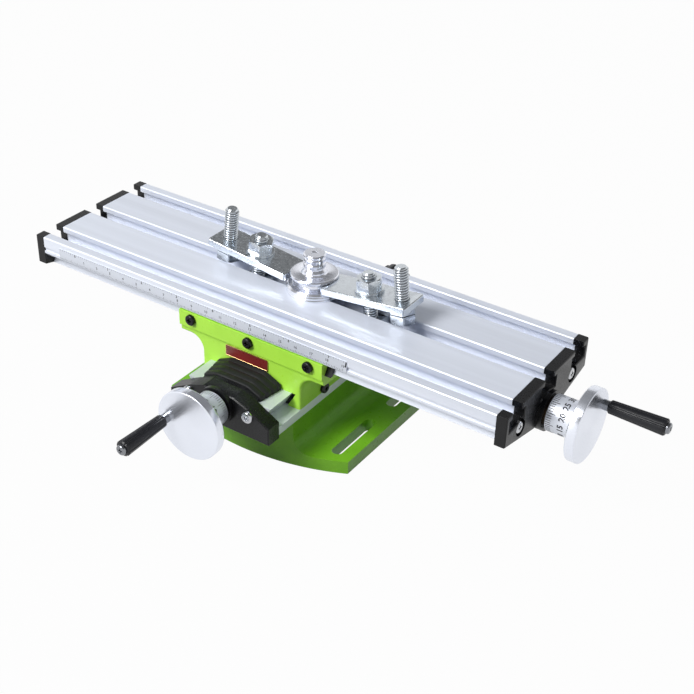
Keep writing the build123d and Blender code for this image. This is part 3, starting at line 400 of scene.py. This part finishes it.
def middle_of(node):
    """The middle of a node's box, in metres."""
    low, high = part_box(node)
    return (low + high) / 2


x_axle = middle_of("x_handwheel")
y_axle = middle_of("y_handwheel")
work_axle = middle_of("workpiece")
wheel_colour = (0.82, 0.85, 0.93)
dial_colour = (0.80, 0.83, 0.90)
work_colour = (0.84, 0.86, 0.93)
dial_look = {"roughness": (0.3, 0.42), "fan": 0.3, "metallic": 0.5}
x_turned = turned("x_turned", wheel_colour, x_axle, (1, 0, 0), "X")
y_turned = turned("y_turned", wheel_colour, y_axle, (0, 1, 0), "Y")
work_turned = turned("work_turned", work_colour, work_axle, (0, 0, 1), "Z", 700, (0.12, 0.24), 0.2)
x_dial_metal = turned("x_dial_metal", dial_colour, x_axle, (1, 0, 0), "X", **dial_look)
y_dial_metal = turned("y_dial_metal", dial_colour, y_axle, (0, 1, 0), "Y", **dial_look)
print("x axle in mm:", [round(v / MM, 1) for v in x_axle], "y axle in mm:", [round(v / MM, 1) for v in y_axle])


# %% [markdown]
# ### Plated, blackened and plain steel, bronze, powder coat and plastic
# The small parts differ in two things: how sharp their reflections are, and how uneven. Zinc plate is
# cloudy, nickel is sharp, black oxide is dull, and powder coat has a fine grain. Threads get a darker metal
# between their ridges, which is painted shade.

# %% Small finishes
def plated(name, colour, roughness, cloud_scale=700, depth=0.94):
    """Plated or blackened metal with a faint cloud in its shine."""
    material = finish(name, colour, metallic=1.0, roughness=roughness)
    cloud = noise(material, cloud_scale, 4)
    into(material, "Roughness", between(material, cloud, roughness * 0.75, roughness * 1.35))
    into(material, "Base Color", ramp(material, cloud, [(0.3, shaded(colour, depth)), (0.7, colour)]))
    into(material, "Normal", bump(material, noise(material, 1800, 2), 0.01 * MM, 0.2))
    return material


def grained(name, colour, roughness, scale, depth, specular):
    """Powder coat, ink, hide or moulded plastic with an even grain of a depth in millimetres."""
    material = finish(name, colour, roughness=roughness, specular=specular)
    grain = noise(material, scale, 3)
    patches = noise(material, scale / 12, 3)
    into(material, "Roughness", between(material, grain, roughness * 0.8, roughness * 1.25))
    into(material, "Base Color", ramp(material, patches, [(0.35, colour), (0.7, shaded(colour, 1.5))]))
    into(material, "Normal", bump(material, grain, depth * MM, 0.5))
    return material


zinc_plate = plated("zinc_plate", (0.64, 0.68, 0.72), 0.22, 500, 0.97)
nickel_plate = plated("nickel_plate", (0.52, 0.53, 0.55), 0.16)
# The crank screws' steel is darker than any plate: painted shade on their necks, which sit dark between grip and
# wheel.
crank_shade_steel = plated("crank_shade_steel", (0.26, 0.27, 0.29), 0.2)
bright_steel = plated("bright_steel", (0.56, 0.57, 0.60), 0.22)
thread_root_shade = plated("thread_root_shade", (0.24, 0.25, 0.27), 0.4)
black_oxide = plated("black_oxide", (0.030, 0.030, 0.032), 0.34)
bronze = plated("bronze", (0.66, 0.44, 0.20), 0.28)
oiled_bronze = plated("oiled_bronze", (0.16, 0.115, 0.065), 0.34)
powder_coat = grained("powder_coat", (0.0038, 0.004, 0.0048), 0.3, 1400, 0.03, 0.3)
grip_plastic = grained("grip_plastic", (0.010, 0.0105, 0.013), 0.36, 2200, 0.01, 0.35)
label_enamel = grained("label_enamel", (0.16, 0.014, 0.012), 0.32, 900, 0.02, 0.5)
cover_hide = grained("cover_hide", (0.010, 0.0105, 0.011), 0.5, 500, 0.12, 0.3)
print_ink = grained("print_ink", (0.012, 0.013, 0.017), 0.5, 3000, 0.01, 0.3)
ruler_face = drawn("ruler_face", (0.68, 0.71, 0.78), (0.02, 1, 1), 0.3)
print("finishes:", len(bpy.data.materials))

# %% [markdown]
# ## Who wears what
# A finish belongs to a material and a process, so one list per finish says more than one line per piece. The
# straps, washers, nuts and bolts of both clamps are all zinc plated.

# %% Dressing the nodes
wearers = (
    (base_enamel, "base_casting"), (saddle_enamel, "saddle_casting"), (table_metal, "table_extrusion"),
    (rail_metal, "y_rail"), (ruler_face, "ruler_strip"), (work_turned, "workpiece"), (x_turned, "x_handwheel"),
    (y_turned, "y_handwheel"), (x_dial_metal, "x_dial"), (y_dial_metal, "y_dial"),
    (powder_coat, "y_end_bracket rear_rail_cap left_end_cap right_end_cap"),
    (grip_plastic, "x_lock_knob x_crank_grip y_crank_grip"),
    (black_oxide, "rail_screws x_gib_screws y_gib_screws x_grub_screw y_grub_screw x_gib y_gib"),
    (nickel_plate, "y_bracket_screws rear_cap_screws left_cap_screws right_cap_screws"),
    # The crank screws wear painted shade: a darker steel on their necks.
    (crank_shade_steel, "x_crank_screw y_crank_screw"),
    (bright_steel, "x_lead_screw y_lead_screw x_lock_stud"),
    (bronze, "x_nut y_nut y_bushing left_bushing right_bushing"),
    (oiled_bronze, "x_thrust_washer y_thrust_washer"),
    (zinc_plate, "left_t_bolt left_strap left_washer left_nut left_jack_bolt left_jack_nut"),
    (zinc_plate, "right_t_bolt right_strap right_washer right_nut right_jack_bolt right_jack_nut"),
)
wears = {node: material for material, names in wearers for node in names.split()}
for node, obj in nodes.items():
    obj.data.materials.clear()
    obj.data.materials.append(wears[node])
print("dressed:", len(wears))

# %% [markdown]
# ## Edges
# No real edge is a knife edge: castings have a millimetre of round, and machined parts are broken with a
# file. Such an edge catches a thin line of light. A CAD mesh comes as loose triangles, so a copy is merged,
# its flat faces are joined, and a Bevel modifier rounds what is sharper than the limit.

# %% Soft edges
sharp_angle = math.radians(28)
flat_angle = math.radians(0.5)
merge_distance = 0.004 * MM


def merged(node):
    """A copy of a node's mesh with its doubles merged and its flat faces joined."""
    mesh = nodes[node].data.copy()
    shell = bmesh.new()
    shell.from_mesh(mesh)
    bmesh.ops.remove_doubles(shell, verts=shell.verts, dist=merge_distance)
    bmesh.ops.dissolve_limit(shell, angle_limit=flat_angle, verts=shell.verts, edges=shell.edges)
    for face in shell.faces:
        face.smooth = True
    shell.to_mesh(mesh)
    shell.free()
    return mesh


def stand_for(piece, node):
    """The piece moves with the node's body and hides the node."""
    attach(piece, body_of[node])
    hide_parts(node)


def soften(node, width):
    """A merged copy of a node with its edges rounded by this width in millimetres, which stands for the node."""
    mesh = merged(node)
    mesh.set_sharp_from_angle(angle=sharp_angle)
    piece = show(node + "_soft", mesh)
    if width:
        edge = piece.modifiers.new("edge", "BEVEL")
        edge.width = width * MM
        edge.segments = 2
        edge.limit_method = "ANGLE"
        edge.angle_limit = sharp_angle
        edge.harden_normals = True
        edge.use_clamp_overlap = True
    stand_for(piece, node)


# Every node but the threaded ones and the turned part, with the width of its rounded edges.
edge_widths = {
    "base_casting": 0.9, "saddle_casting": 0.7, "table_extrusion": 0.15, "y_rail": 0.3, "y_end_bracket": 0.5,
    "left_end_cap": 0.4, "right_end_cap": 0.4, "x_handwheel": 0.0, "y_handwheel": 0.0, "x_dial": 0.15,
    "y_dial": 0.15, "left_strap": 0.3, "right_strap": 0.3, "left_washer": 0.25, "right_washer": 0.25,
    "left_nut": 0.15, "right_nut": 0.15, "left_jack_nut": 0.2, "right_jack_nut": 0.2,
    "x_crank_grip": 0.1, "y_crank_grip": 0.1, "x_lock_knob": 0.3, "x_gib": 0.1, "y_gib": 0.1, "rear_rail_cap": 0.4,
    "y_bracket_screws": 0.1, "x_gib_screws": 0.1, "y_gib_screws": 0.1, "x_crank_screw": 0.1,
    "y_crank_screw": 0.1, "left_cap_screws": 0.1, "right_cap_screws": 0.1, "rear_cap_screws": 0.1,
    "y_bushing": 0.1, "left_bushing": 0.1, "right_bushing": 0.1, "x_thrust_washer": 0.1, "y_thrust_washer": 0.1,
    "rail_screws": 0.1, "x_lock_stud": 0.1, "x_grub_screw": 0.1, "y_grub_screw": 0.1, "x_nut": 0.2, "y_nut": 0.2,
    "ruler_strip": 0.05,
}
for node, width in edge_widths.items():
    soften(node, width)
print("softened:", len(edge_widths))

# %% [markdown]
# ## Growing meshes from nodes
# Threads, graduations and ruler lines all follow a rule, so Geometry Nodes make them. Four helpers keep each
# tree short: one opens a tree with named inputs, one adds a node with its settings, one closes the tree, and
# one puts it on an empty object, sets the inputs and returns the finished mesh.

# %% Helpers for node trees
def open_tree(name, **inputs):
    """A new geometry tree with named inputs; returns the tree and its two end nodes."""
    tree = bpy.data.node_groups.new(name, "GeometryNodeTree")
    for title, kind in inputs.items():
        tree.interface.new_socket(title, in_out="INPUT", socket_type="NodeSocket" + kind)
    tree.interface.new_socket("Mesh", in_out="OUTPUT", socket_type="NodeSocketGeometry")
    return tree, tree.nodes.new("NodeGroupInput"), tree.nodes.new("NodeGroupOutput")


def add(tree, kind, **sockets):
    """A node whose sockets take either a value or another node's output."""
    node = tree.nodes.new(kind)
    for title, value in sockets.items():
        socket = node.inputs[title.replace("_", " ")]
        if isinstance(value, bpy.types.NodeSocket):
            join(tree, value, socket)
        else:
            socket.default_value = value
    return node


def close_tree(tree, geometry, metal, end):
    """Instances become real faces in one material, as an export needs them."""
    real = add(tree, "GeometryNodeRealizeInstances", Geometry=geometry)
    wear = add(tree, "GeometryNodeSetMaterial", Geometry=real.outputs[0], Material=metal)
    join(tree, wear.outputs[0], end.inputs[0])


def baked(obj):
    """The mesh that an object shows, as plain faces; the object itself goes."""
    bpy.context.view_layer.update()
    mesh = bpy.data.meshes.new_from_object(obj.evaluated_get(bpy.context.evaluated_depsgraph_get()))
    bpy.data.objects.remove(obj)
    return mesh


def grow(tree, **values):
    """The mesh that a tree makes from these values."""
    seed = show("seed", bpy.data.meshes.new("seed"))
    modifier = seed.modifiers.new("grow", "NODES")
    modifier.node_group = tree
    for item in tree.interface.items_tree:
        if item.item_type == "SOCKET" and item.in_out == "INPUT":
            modifier[item.identifier] = values[item.name]
    return baked(seed)


# %% [markdown]
# ## Screw threads
# In the CAD every screw is a plain rod of its outside diameter. A real thread is a ridge wound round a thinner
# core: a spiral curve carries a diamond profile, and the profile's normal is held upright so that the ridge
# stays square to the axis. The spiral node turns left-handed as it rises, so Reverse is on for a right-hand
# thread. The core is the CAD mesh itself, with the rod's points drawn in and its side in a darker metal that
# paints shade between the ridges.

# %% The thread tree
thread_tree, given, end = open_tree("thread_tree", Turns="Float", Radius="Float", Length="Float", Depth="Float",
                                    Rise="Float", Metal="Material")
path = add(thread_tree, "GeometryNodeCurveSpiral", Resolution=20, Rotations=given.outputs["Turns"],
           Start_Radius=given.outputs["Radius"], End_Radius=given.outputs["Radius"],
           Height=given.outputs["Length"], Reverse=True)
held = add(thread_tree, "GeometryNodeSetCurveNormal", Curve=path.outputs[0])
held.mode = "Z_UP"
ring = add(thread_tree, "GeometryNodeCurvePrimitiveCircle", Resolution=4, Radius=1.0)
squash = add(thread_tree, "ShaderNodeCombineXYZ", X=given.outputs["Depth"], Y=given.outputs["Rise"], Z=1.0)
diamond = add(thread_tree, "GeometryNodeTransform", Geometry=ring.outputs[0], Scale=squash.outputs[0])
ridge = add(thread_tree, "GeometryNodeCurveToMesh", Curve=held.outputs[0], Profile_Curve=diamond.outputs[0],
            Fill_Caps=True)
close_tree(thread_tree, ridge.outputs[0], given.outputs["Metal"], end)
print("thread tree nodes:", len(thread_tree.nodes))

# %% Threading a rod
ridge_rise = 0.38     # half the ridge's foot, as a share of the pitch
rod_room = 0.3        # past the crest, in millimetres, where a point still counts as the rod's
side_limit = 0.2      # a face whose normal leans less than this along the rod is on its side


def thread(node, place, low, high, crest, root, pitch, inner):
    """Cuts a right-hand thread on a node's rod, along the place's Z from low to high, in millimetres."""
    mesh = merged(node)
    back = place.inverted()
    shrink = root / crest
    rooted = set()
    for vertex in mesh.vertices:
        spot = back @ vertex.co
        if inner * MM < math.hypot(spot.x, spot.y) < (crest + rod_room) * MM:
            vertex.co = place @ Vector((spot.x * shrink, spot.y * shrink, spot.z))
            rooted.add(vertex.index)
    mesh.set_sharp_from_angle(angle=sharp_angle)
    # The second slot is painted shade on the core's side, between the ridges.
    mesh.materials.append(thread_root_shade)
    along = place.col[2].xyz
    for face in mesh.polygons:
        if rooted.issuperset(face.vertices) and abs(face.normal.dot(along)) < side_limit:
            face.material_index = 1
    coil = grow(thread_tree, Turns=(high - low) / pitch, Radius=root * MM, Length=(high - low) * MM,
                Depth=(crest - root) * MM, Rise=pitch * ridge_rise * MM, Metal=wears[node])
    coil.transform(place @ Matrix.Translation((0, 0, low * MM)))
    shell = bmesh.new()
    shell.from_mesh(mesh)
    shell.from_mesh(coil)
    shell.to_mesh(mesh)
    shell.free()
    stand_for(show(node + "_threaded", mesh), node)
    return len(mesh.polygons)


def upright_at(origin, axis, across):
    """A frame with Z along the axis and X across it, in metres."""
    z = Vector(axis).normalized()
    y = z.cross(Vector(across)).normalized()
    x = y.cross(z)
    frame_of = Matrix((x, y, z)).transposed().to_4x4()
    frame_of.translation = Vector(origin)
    return frame_of


# %% Lead screws
lead_crest, lead_root, lead_pitch = 3.95, 3.37, 1.25
lead_inner = 3.2      # the journals are thinner than this and stay plain
x_line = middle_of("x_lead_screw")
y_line = middle_of("y_lead_screw")
x_frame = upright_at((0, x_line.y, x_line.z), (1, 0, 0), (0, 1, 0))
y_frame = upright_at((y_line.x, 0, y_line.z), (0, -1, 0), (1, 0, 0))
faces = [thread("x_lead_screw", x_frame, -149.2, 149.2, lead_crest, lead_root, lead_pitch, lead_inner),
         thread("y_lead_screw", y_frame, -66.3, 72.0, lead_crest, lead_root, lead_pitch, lead_inner)]
print("lead screw faces:", faces)

# %% Clamp bolts
strap_lean = math.radians(6)
strap_rise = 14.7
bolt_crest, bolt_root, bolt_pitch, bolt_inner = 4.0, 3.4, 1.5, 0.5
bolt_spans = {"t_bolt": (-15.5, 10.0), "jack_bolt": (-7.4, 18.0)}
table_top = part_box("table_extrusion")[1].z / MM
# For each strap: which way it points, its outer end's X, and how far along it each bolt stands.
strap_ends = {"left": (1, -54.9, {"t_bolt": 29.8, "jack_bolt": 8.5}),
              "right": (-1, 75.5, {"t_bolt": 28.0, "jack_bolt": 7.5})}

for side, (hand, end_x, places) in strap_ends.items():
    along = Vector((hand * math.cos(strap_lean), 0, -math.sin(strap_lean)))
    normal = (hand * math.sin(strap_lean), 0, math.cos(strap_lean))
    outer_end = Vector((end_x, x_line.y / MM, table_top + strap_rise))
    faces = []
    for bolt, distance in places.items():
        place = upright_at((outer_end + distance * along) * MM, normal, along)
        faces.append(thread(side + "_" + bolt, place, *bolt_spans[bolt], bolt_crest, bolt_root, bolt_pitch,
                            bolt_inner))
    print(side, "bolt faces:", faces)

# %% [markdown]
# ## The turned part
# The stepped part between the straps came off a lathe, and its steps carry narrow grooves. A lathe turns the
# metal against a tool that follows a profile, and the spin operator does the same with a row of points. The
# slopes that face up mirror the dark ceiling and the walls mirror white, which draws the stripes down its front.

# %% Turned part
work_steps = 96
# Radius and height over the table, from the centre hole down to the foot.
work_profile = [
    (0.0, 22.4), (1.3, 22.4), (2.0, 23.0), (5.6, 23.0), (6.2, 22.4), (6.2, 21.7), (5.3, 21.2), (5.3, 20.7),
    (5.9, 20.0), (5.9, 18.7), (5.4, 18.3), (5.4, 17.9), (6.1, 17.1), (6.1, 15.0), (5.6, 14.6), (5.6, 14.2),
    (6.8, 12.9), (6.8, 12.2), (7.4, 11.5), (8.2, 11.2), (12.9, 11.2), (13.4, 10.7), (13.4, 9.7),
    (9.2, 9.7), (9.2, 8.4), (8.9, 8.0), (9.2, 7.4), (9.2, 6.8), (8.9, 6.4), (9.2, 5.8),
    (9.2, 4.9), (11.6, 4.9), (11.9, 4.7), (12.2, 4.9), (14.2, 4.9), (15.3, 3.9), (15.3, 3.5), (14.9, 3.2),
    (15.3, 2.6), (15.3, 1.7), (14.9, 1.4), (15.3, 0.8), (15.3, 0.1), (0.0, 0.1),
]


def smooth_mesh(shell, name, limit):
    """A mesh with smooth faces from a bmesh, sharp where it bends by more than the limit."""
    bmesh.ops.recalc_face_normals(shell, faces=shell.faces)
    for face in shell.faces:
        face.smooth = True
    mesh = bpy.data.meshes.new(name)
    shell.to_mesh(mesh)
    shell.free()
    mesh.set_sharp_from_angle(angle=limit)
    return mesh


shell = bmesh.new()
row = [shell.verts.new((x * MM, 0, z * MM)) for x, z in work_profile]
for first, second in zip(row, row[1:]):
    shell.edges.new((first, second))
bmesh.ops.spin(shell, geom=shell.verts[:] + shell.edges[:], cent=(0, 0, 0), axis=(0, 0, 1), angle=math.tau,
               steps=work_steps, use_merge=True)
bmesh.ops.remove_doubles(shell, verts=shell.verts, dist=merge_distance)
work_mesh = smooth_mesh(shell, "workpiece_turned", sharp_angle)
work_mesh.transform(Matrix.Translation((work_axle.x, work_axle.y, table_top * MM)))
work_mesh.materials.append(work_turned)
stand_for(show("workpiece_turned", work_mesh), "workpiece")
print("turned part faces:", len(work_mesh.polygons))

# %% [markdown]
# ## Graduations and figures
# The ruler strip and the dials are printed. Lines of one length repeat at one step, so one small tree lays a
# row of them along X and another sets them round a circle. The figures are text, made into a mesh first, and
# then laid on the strip or bent round the dial.

# %% Trees for lines
row_tree, given, end = open_tree("row_tree", Count="Int", Step="Float", Wide="Float", Tall="Float",
                                 Thick="Float", Ink="Material")
step = add(row_tree, "ShaderNodeCombineXYZ", X=given.outputs["Step"])
line = add(row_tree, "GeometryNodeMeshLine", Count=given.outputs["Count"], Offset=step.outputs[0])
size = add(row_tree, "ShaderNodeCombineXYZ", X=given.outputs["Wide"], Y=given.outputs["Thick"],
           Z=given.outputs["Tall"])
bar = add(row_tree, "GeometryNodeMeshCube", Size=size.outputs[0])
half = add(row_tree, "ShaderNodeMath", Value=given.outputs["Tall"])
half.operation = "MULTIPLY"
half.inputs[1].default_value = 0.5
lift = add(row_tree, "ShaderNodeCombineXYZ", Z=half.outputs[0])
raised = add(row_tree, "GeometryNodeTransform", Geometry=bar.outputs[0], Translation=lift.outputs[0])
copies = add(row_tree, "GeometryNodeInstanceOnPoints", Points=line.outputs[0], Instance=raised.outputs[0])
close_tree(row_tree, copies.outputs[0], given.outputs["Ink"], end)

round_tree, given, end = open_tree("round_tree", Count="Int", Radius="Float", Wide="Float", Tall="Float",
                                   Thick="Float", Ink="Material")
circle = add(round_tree, "GeometryNodeMeshCircle", Vertices=given.outputs["Count"],
             Radius=given.outputs["Radius"])
size = add(round_tree, "ShaderNodeCombineXYZ", X=given.outputs["Thick"], Y=given.outputs["Wide"],
           Z=given.outputs["Tall"])
bar = add(round_tree, "GeometryNodeMeshCube", Size=size.outputs[0])
spot = add(round_tree, "GeometryNodeInputPosition")
facing = add(round_tree, "FunctionNodeAlignRotationToVector", Vector=spot.outputs[0])
facing.axis = "X"
copies = add(round_tree, "GeometryNodeInstanceOnPoints", Points=circle.outputs[0], Instance=bar.outputs[0],
             Rotation=facing.outputs[0])
close_tree(round_tree, copies.outputs[0], given.outputs["Ink"], end)
print("line trees:", row_tree.name, round_tree.name)

# %% Figures and gathering
ink_thick = 0.04      # how far a printed line stands out on both sides of its face together
type_size = 1.38      # a font's size over the height of its figures


def figure(text, height, bold=0.02):
    """One number as a thin flat mesh in XY, centred on X, its foot on Y = 0; the height is in millimetres."""
    curve = bpy.data.curves.new("figure", "FONT")
    curve.body = text
    curve.size = height * type_size * MM
    curve.align_x = "CENTER"
    curve.resolution_u = 2
    curve.offset = height * bold * MM
    curve.extrude = 0.01 * MM
    return baked(show("figure", curve))


def gather(name, meshes, material, body):
    """Joins meshes that already lie in place into one piece on a body."""
    shell = bmesh.new()
    for mesh in meshes:
        shell.from_mesh(mesh)
    joined = bpy.data.meshes.new(name)
    shell.to_mesh(joined)
    shell.free()
    joined.materials.clear()
    joined.materials.append(material)
    for polygon in joined.polygons:
        polygon.material_index = 0
    piece = show(name, joined)
    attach(piece, body)


# %% [markdown]
# ### The ruler
# Centimetres run along the strip's lower edge and inches along its upper edge, both from one zero near the
# table's left end. Each kind of line is one row: a longer line stands over the shorter ones at its place. A
# slanted bar closes the print at its right end.

# %% The ruler's lines and figures
# All sizes are in millimetres.
ruler_low, ruler_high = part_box("ruler_strip")
zero_x = -128.3
inch = 25.4
line_wide = 0.16
ruler_margin = 0.2    # between the print and the strip's edges
cm_rows = ((1, 0.8, -9, 200), (5, 1.15, -5, 40), (10, 1.5, 0, 20))    # step, height, first, count
inch_rows = ((16, 0.5, -5, 126), (4, 0.8, -1, 32), (1, 1.1, 0, 8))    # parts of an inch, then the same
cm_figure, cm_figure_rise = 1.6, 2.2                    # height of the figures, and of their feet over the lines
inch_figure, inch_figure_drop = 1.5, 1.7                # height of the figures, and their feet under the top
inch_figure_bold = 0.05
inch_figure_shift = 3.3                                 # an inch's figure stands to the right of its line
bar_x, bar_drop, bar_wide, bar_tall, bar_lean = 63.3, 3.4, 0.7, 3.3, math.radians(7)


def line_row(count, step_mm, wide, tall):
    """A row of upright lines along X with their feet on Z = 0, in millimetres."""
    return grow(row_tree, Count=count, Step=step_mm * MM, Wide=wide * MM, Tall=tall * MM, Thick=ink_thick * MM,
                Ink=print_ink)


def on_ruler(mesh, x, z, flat=False):
    """Lays a mesh on the strip's face, at x and height z in millimetres; flat meshes are stood up first."""
    if flat:
        mesh.transform(Matrix.Rotation(math.radians(90), 4, "X"))
    mesh.transform(Matrix.Translation((x * MM, ruler_low.y, z * MM)))
    return mesh


foot = ruler_low.z / MM + ruler_margin
head = ruler_high.z / MM - ruler_margin
marks = []
for step_mm, tall, first, count in cm_rows:
    marks.append(on_ruler(line_row(count, step_mm, line_wide, tall), zero_x + first, foot))
for share, tall, first, count in inch_rows:
    row = line_row(count, inch / share, line_wide, tall)
    marks.append(on_ruler(row, zero_x + first * inch / share, head - tall))
for number in range(1, 20):
    marks.append(on_ruler(figure(str(number), cm_figure), zero_x + 10 * number, foot + cm_figure_rise, True))
for number in range(8):
    mark = figure(str(number), inch_figure, inch_figure_bold)
    marks.append(on_ruler(mark, zero_x + inch * number + inch_figure_shift, head - inch_figure_drop, True))
end_bar = line_row(1, 0.0, bar_wide, bar_tall)
end_bar.transform(Matrix.Rotation(bar_lean, 4, "Y"))
marks.append(on_ruler(end_bar, bar_x, head - bar_drop))
gather("ruler_marks", marks, print_ink, "table")
print("ruler lines and figures:", len(marks))

# %% [markdown]
# ### The dials
# Each dial has fifty lines, one for a fiftieth of a turn, and a figure at every fifth. The lines are boxes
# set half into the face. A figure is wider than a line, so each of its points is swung round the axle by its
# distance from the figure's middle, which bends the figure to the dial's curve.

# %% The dials' lines and figures
# All lengths are in millimetres.
dial_length = 16.0
dial_turn = math.radians(66)         # from the front to the figure 25
dial_step = math.radians(36)         # from one figure to the next
dial_rows = ((50, 2.8), (10, 4.4))   # how many lines, and how long
dial_line_wide = 0.3
dial_margin = 0.8                    # from the dial's inner rim to the lines
figure_line = 10.4                   # from the inner rim to the figures' feet
figure_tall, figure_bold = 3.2, 0.035
figure_top, figure_under = 0.04, -0.08   # how high a figure's outer and inner sides lie over the face


def dial_marks(axis_name, centre, axle, front):
    """Fifty divisions round a dial, a figure at every fifth, and the figures' feet towards the wheel."""
    low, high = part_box(axis_name + "_dial")
    radius = (high.z - low.z) / 2
    axle = Vector(axle)
    front = Vector(front)
    start = max((low - centre).dot(axle), (high - centre).dot(axle)) - dial_length * MM
    meshes = []
    basis = upright_at(centre, axle, math.cos(dial_turn) * front + math.sin(dial_turn) * front.cross(axle))
    for count, tall in dial_rows:
        lines = grow(round_tree, Count=count, Radius=radius, Wide=dial_line_wide * MM, Tall=tall * MM,
                     Thick=2 * ink_thick * MM, Ink=print_ink)
        lines.transform(basis @ Matrix.Translation((0, 0, start + (dial_margin + tall / 2) * MM)))
        meshes.append(lines)
    for number in range(10):
        mesh = figure(str(5 * number), figure_tall, figure_bold)
        middle = dial_turn + dial_step * (number - 5)
        for vertex in mesh.vertices:
            swing = middle + vertex.co.x / radius
            out = math.cos(swing) * front + math.sin(swing) * front.cross(axle)
            reach = radius + (figure_top if vertex.co.z > 0 else figure_under) * MM
            vertex.co = centre + axle * (start + figure_line * MM - vertex.co.y) + out * reach
        meshes.append(mesh)
    gather(axis_name + "_dial_marks", meshes, print_ink, axis_name + "_screw")
    return sum(len(mesh.polygons) for mesh in meshes)


print("dial faces:", dial_marks("x", Vector((0, x_line.y, x_line.z)), (1, 0, 0), (0, -1, 0)),
      dial_marks("y", Vector((y_line.x, 0, y_line.z)), (0, -1, 0), (1, 0, 0)))

# %% [markdown]
# ## The cover on the hood
# A thin folded cover lies over the bracket's hood and keeps chips off the screw. It is a sheet bent over the
# hood's arch, with a lip in front and shallow creases across. Each cross-section is a closed loop: the arch
# pushed out by the sheet's height there, and back along the hood's own surface. Joined loops make the sheet.

# %% Cover
# The hood tapers along Y: place, half width and rise at its front and at its back, all in millimetres.
hood_front = (-73.4, 18.0, 5.6)
hood_back = (-54.3, 20.5, 7.5)
shoulder_share = 0.42     # of the rise, where the hood's straight side ends
crown_share = 0.55        # of the half width, where its flat top ends
cover_sink = -0.2         # the sheet's underside lies this far in the hood
cover_bend = math.radians(50)
# Place along Y and height of the sheet's outside over the hood.
cover_rows = [(-70.4, 0.35), (-70.2, 0.75), (-69.7, 0.9), (-67.0, 0.85), (-66.3, 0.45), (-65.6, 0.85), (-62.4, 0.9),
              (-61.7, 0.5), (-61.0, 0.9), (-58.0, 0.9), (-57.4, 0.55), (-56.8, 0.9), (-54.8, 0.9), (-54.6, 0.6)]
rail_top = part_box("y_rail")[1].z / MM


def arch_points(y, out):
    """The hood's arch at a place along Y, pushed outwards, with its corners eased."""
    share = (y - hood_front[0]) / (hood_back[0] - hood_front[0])
    half, tall = (a + share * (b - a) for a, b in zip(hood_front[1:], hood_back[1:]))
    one_side = [(half + out, 0.05), (half + out, shoulder_share * tall + out * 0.6),
                (crown_share * half + out * 0.3, tall + out)]
    corners = one_side + [(-x, z) for x, z in one_side[::-1]]
    line = [(ax + t * (bx - ax), az + t * (bz - az)) for (ax, az), (bx, bz) in zip(corners, corners[1:])
            for t in (0.0, 0.12, 0.5, 0.88)] + [corners[-1]]
    eased = [((a[0] + 2 * b[0] + c[0]) / 4, (a[1] + 2 * b[1] + c[1]) / 4)
             for a, b, c in zip(line, line[1:], line[2:])]
    return [(x, y, rail_top + z) for x, z in [line[0]] + eased + [line[-1]]]


shell = bmesh.new()
loops = []
for y, out in cover_rows:
    around = arch_points(y, out) + arch_points(y, cover_sink)[::-1]
    loops.append([shell.verts.new(Vector(point) * MM) for point in around])
for first, second in zip(loops, loops[1:]):
    for i in range(len(first)):
        j = (i + 1) % len(first)
        shell.faces.new((first[i], first[j], second[j], second[i]))
shell.faces.new(loops[0])
shell.faces.new(loops[-1][::-1])
cover_mesh = smooth_mesh(shell, "hood_cover", cover_bend)
cover_mesh.materials.append(cover_hide)
cover = show("hood_cover", cover_mesh)
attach(cover, body_of["y_end_bracket"])
print("cover faces:", len(cover_mesh.polygons))

# %% [markdown]
# ## The plate on the saddle
# A small plate is fixed to the saddle's front face, and here it stays blank. It is a rounded rectangle with a
# thin raised rim: the outline is drawn as a face, inset twice, and the field inside the rim is pressed back.

# %% Plate
plate_thick, plate_corner, plate_rim, plate_press = 0.5, 0.9, 0.35, 0.12
x_low, x_high = -16.6 + plate_corner, 12.2 - plate_corner    # the middles of its corners' arcs, along X
z_low, z_high = 49.8 + plate_corner, 56.8 - plate_corner     # and their heights
band_step = 1.5           # the saddle's front face lies this far behind its upper band
plate_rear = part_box("saddle_casting")[0].y / MM + band_step

outline = []
for quarter, (x, z) in enumerate(((x_high, z_high), (x_low, z_high), (x_low, z_low), (x_high, z_low))):
    for turn in range(0, 91, 15):
        angle = math.radians(90 * quarter + turn)
        outline.append((x + plate_corner * math.cos(angle), z + plate_corner * math.sin(angle)))
shell = bmesh.new()
face = shell.faces.new([shell.verts.new((x * MM, plate_rear * MM, z * MM)) for x, z in outline])
grown = bmesh.ops.extrude_face_region(shell, geom=[face])
field = next(item for item in grown["geom"] if isinstance(item, bmesh.types.BMFace))
for vertex in field.verts:
    vertex.co.y -= plate_thick * MM
bmesh.ops.inset_region(shell, faces=[field], thickness=plate_rim * MM)
bmesh.ops.inset_region(shell, faces=[field], thickness=plate_press * MM, depth=-plate_press * MM)
bmesh.ops.recalc_face_normals(shell, faces=shell.faces)
plate_mesh = bpy.data.meshes.new("saddle_plate")
shell.to_mesh(plate_mesh)
shell.free()
plate_mesh.materials.append(bronze)
plate_mesh.materials.append(label_enamel)
pressed = [p for p in plate_mesh.polygons
           if p.normal.y < -0.9 and p.center.y > (plate_rear - plate_thick + plate_press / 2) * MM]
max(pressed, key=lambda polygon: polygon.area).material_index = 1
plate = show("saddle_plate", plate_mesh)
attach(plate, "saddle")
print("plate faces:", len(plate_mesh.polygons))
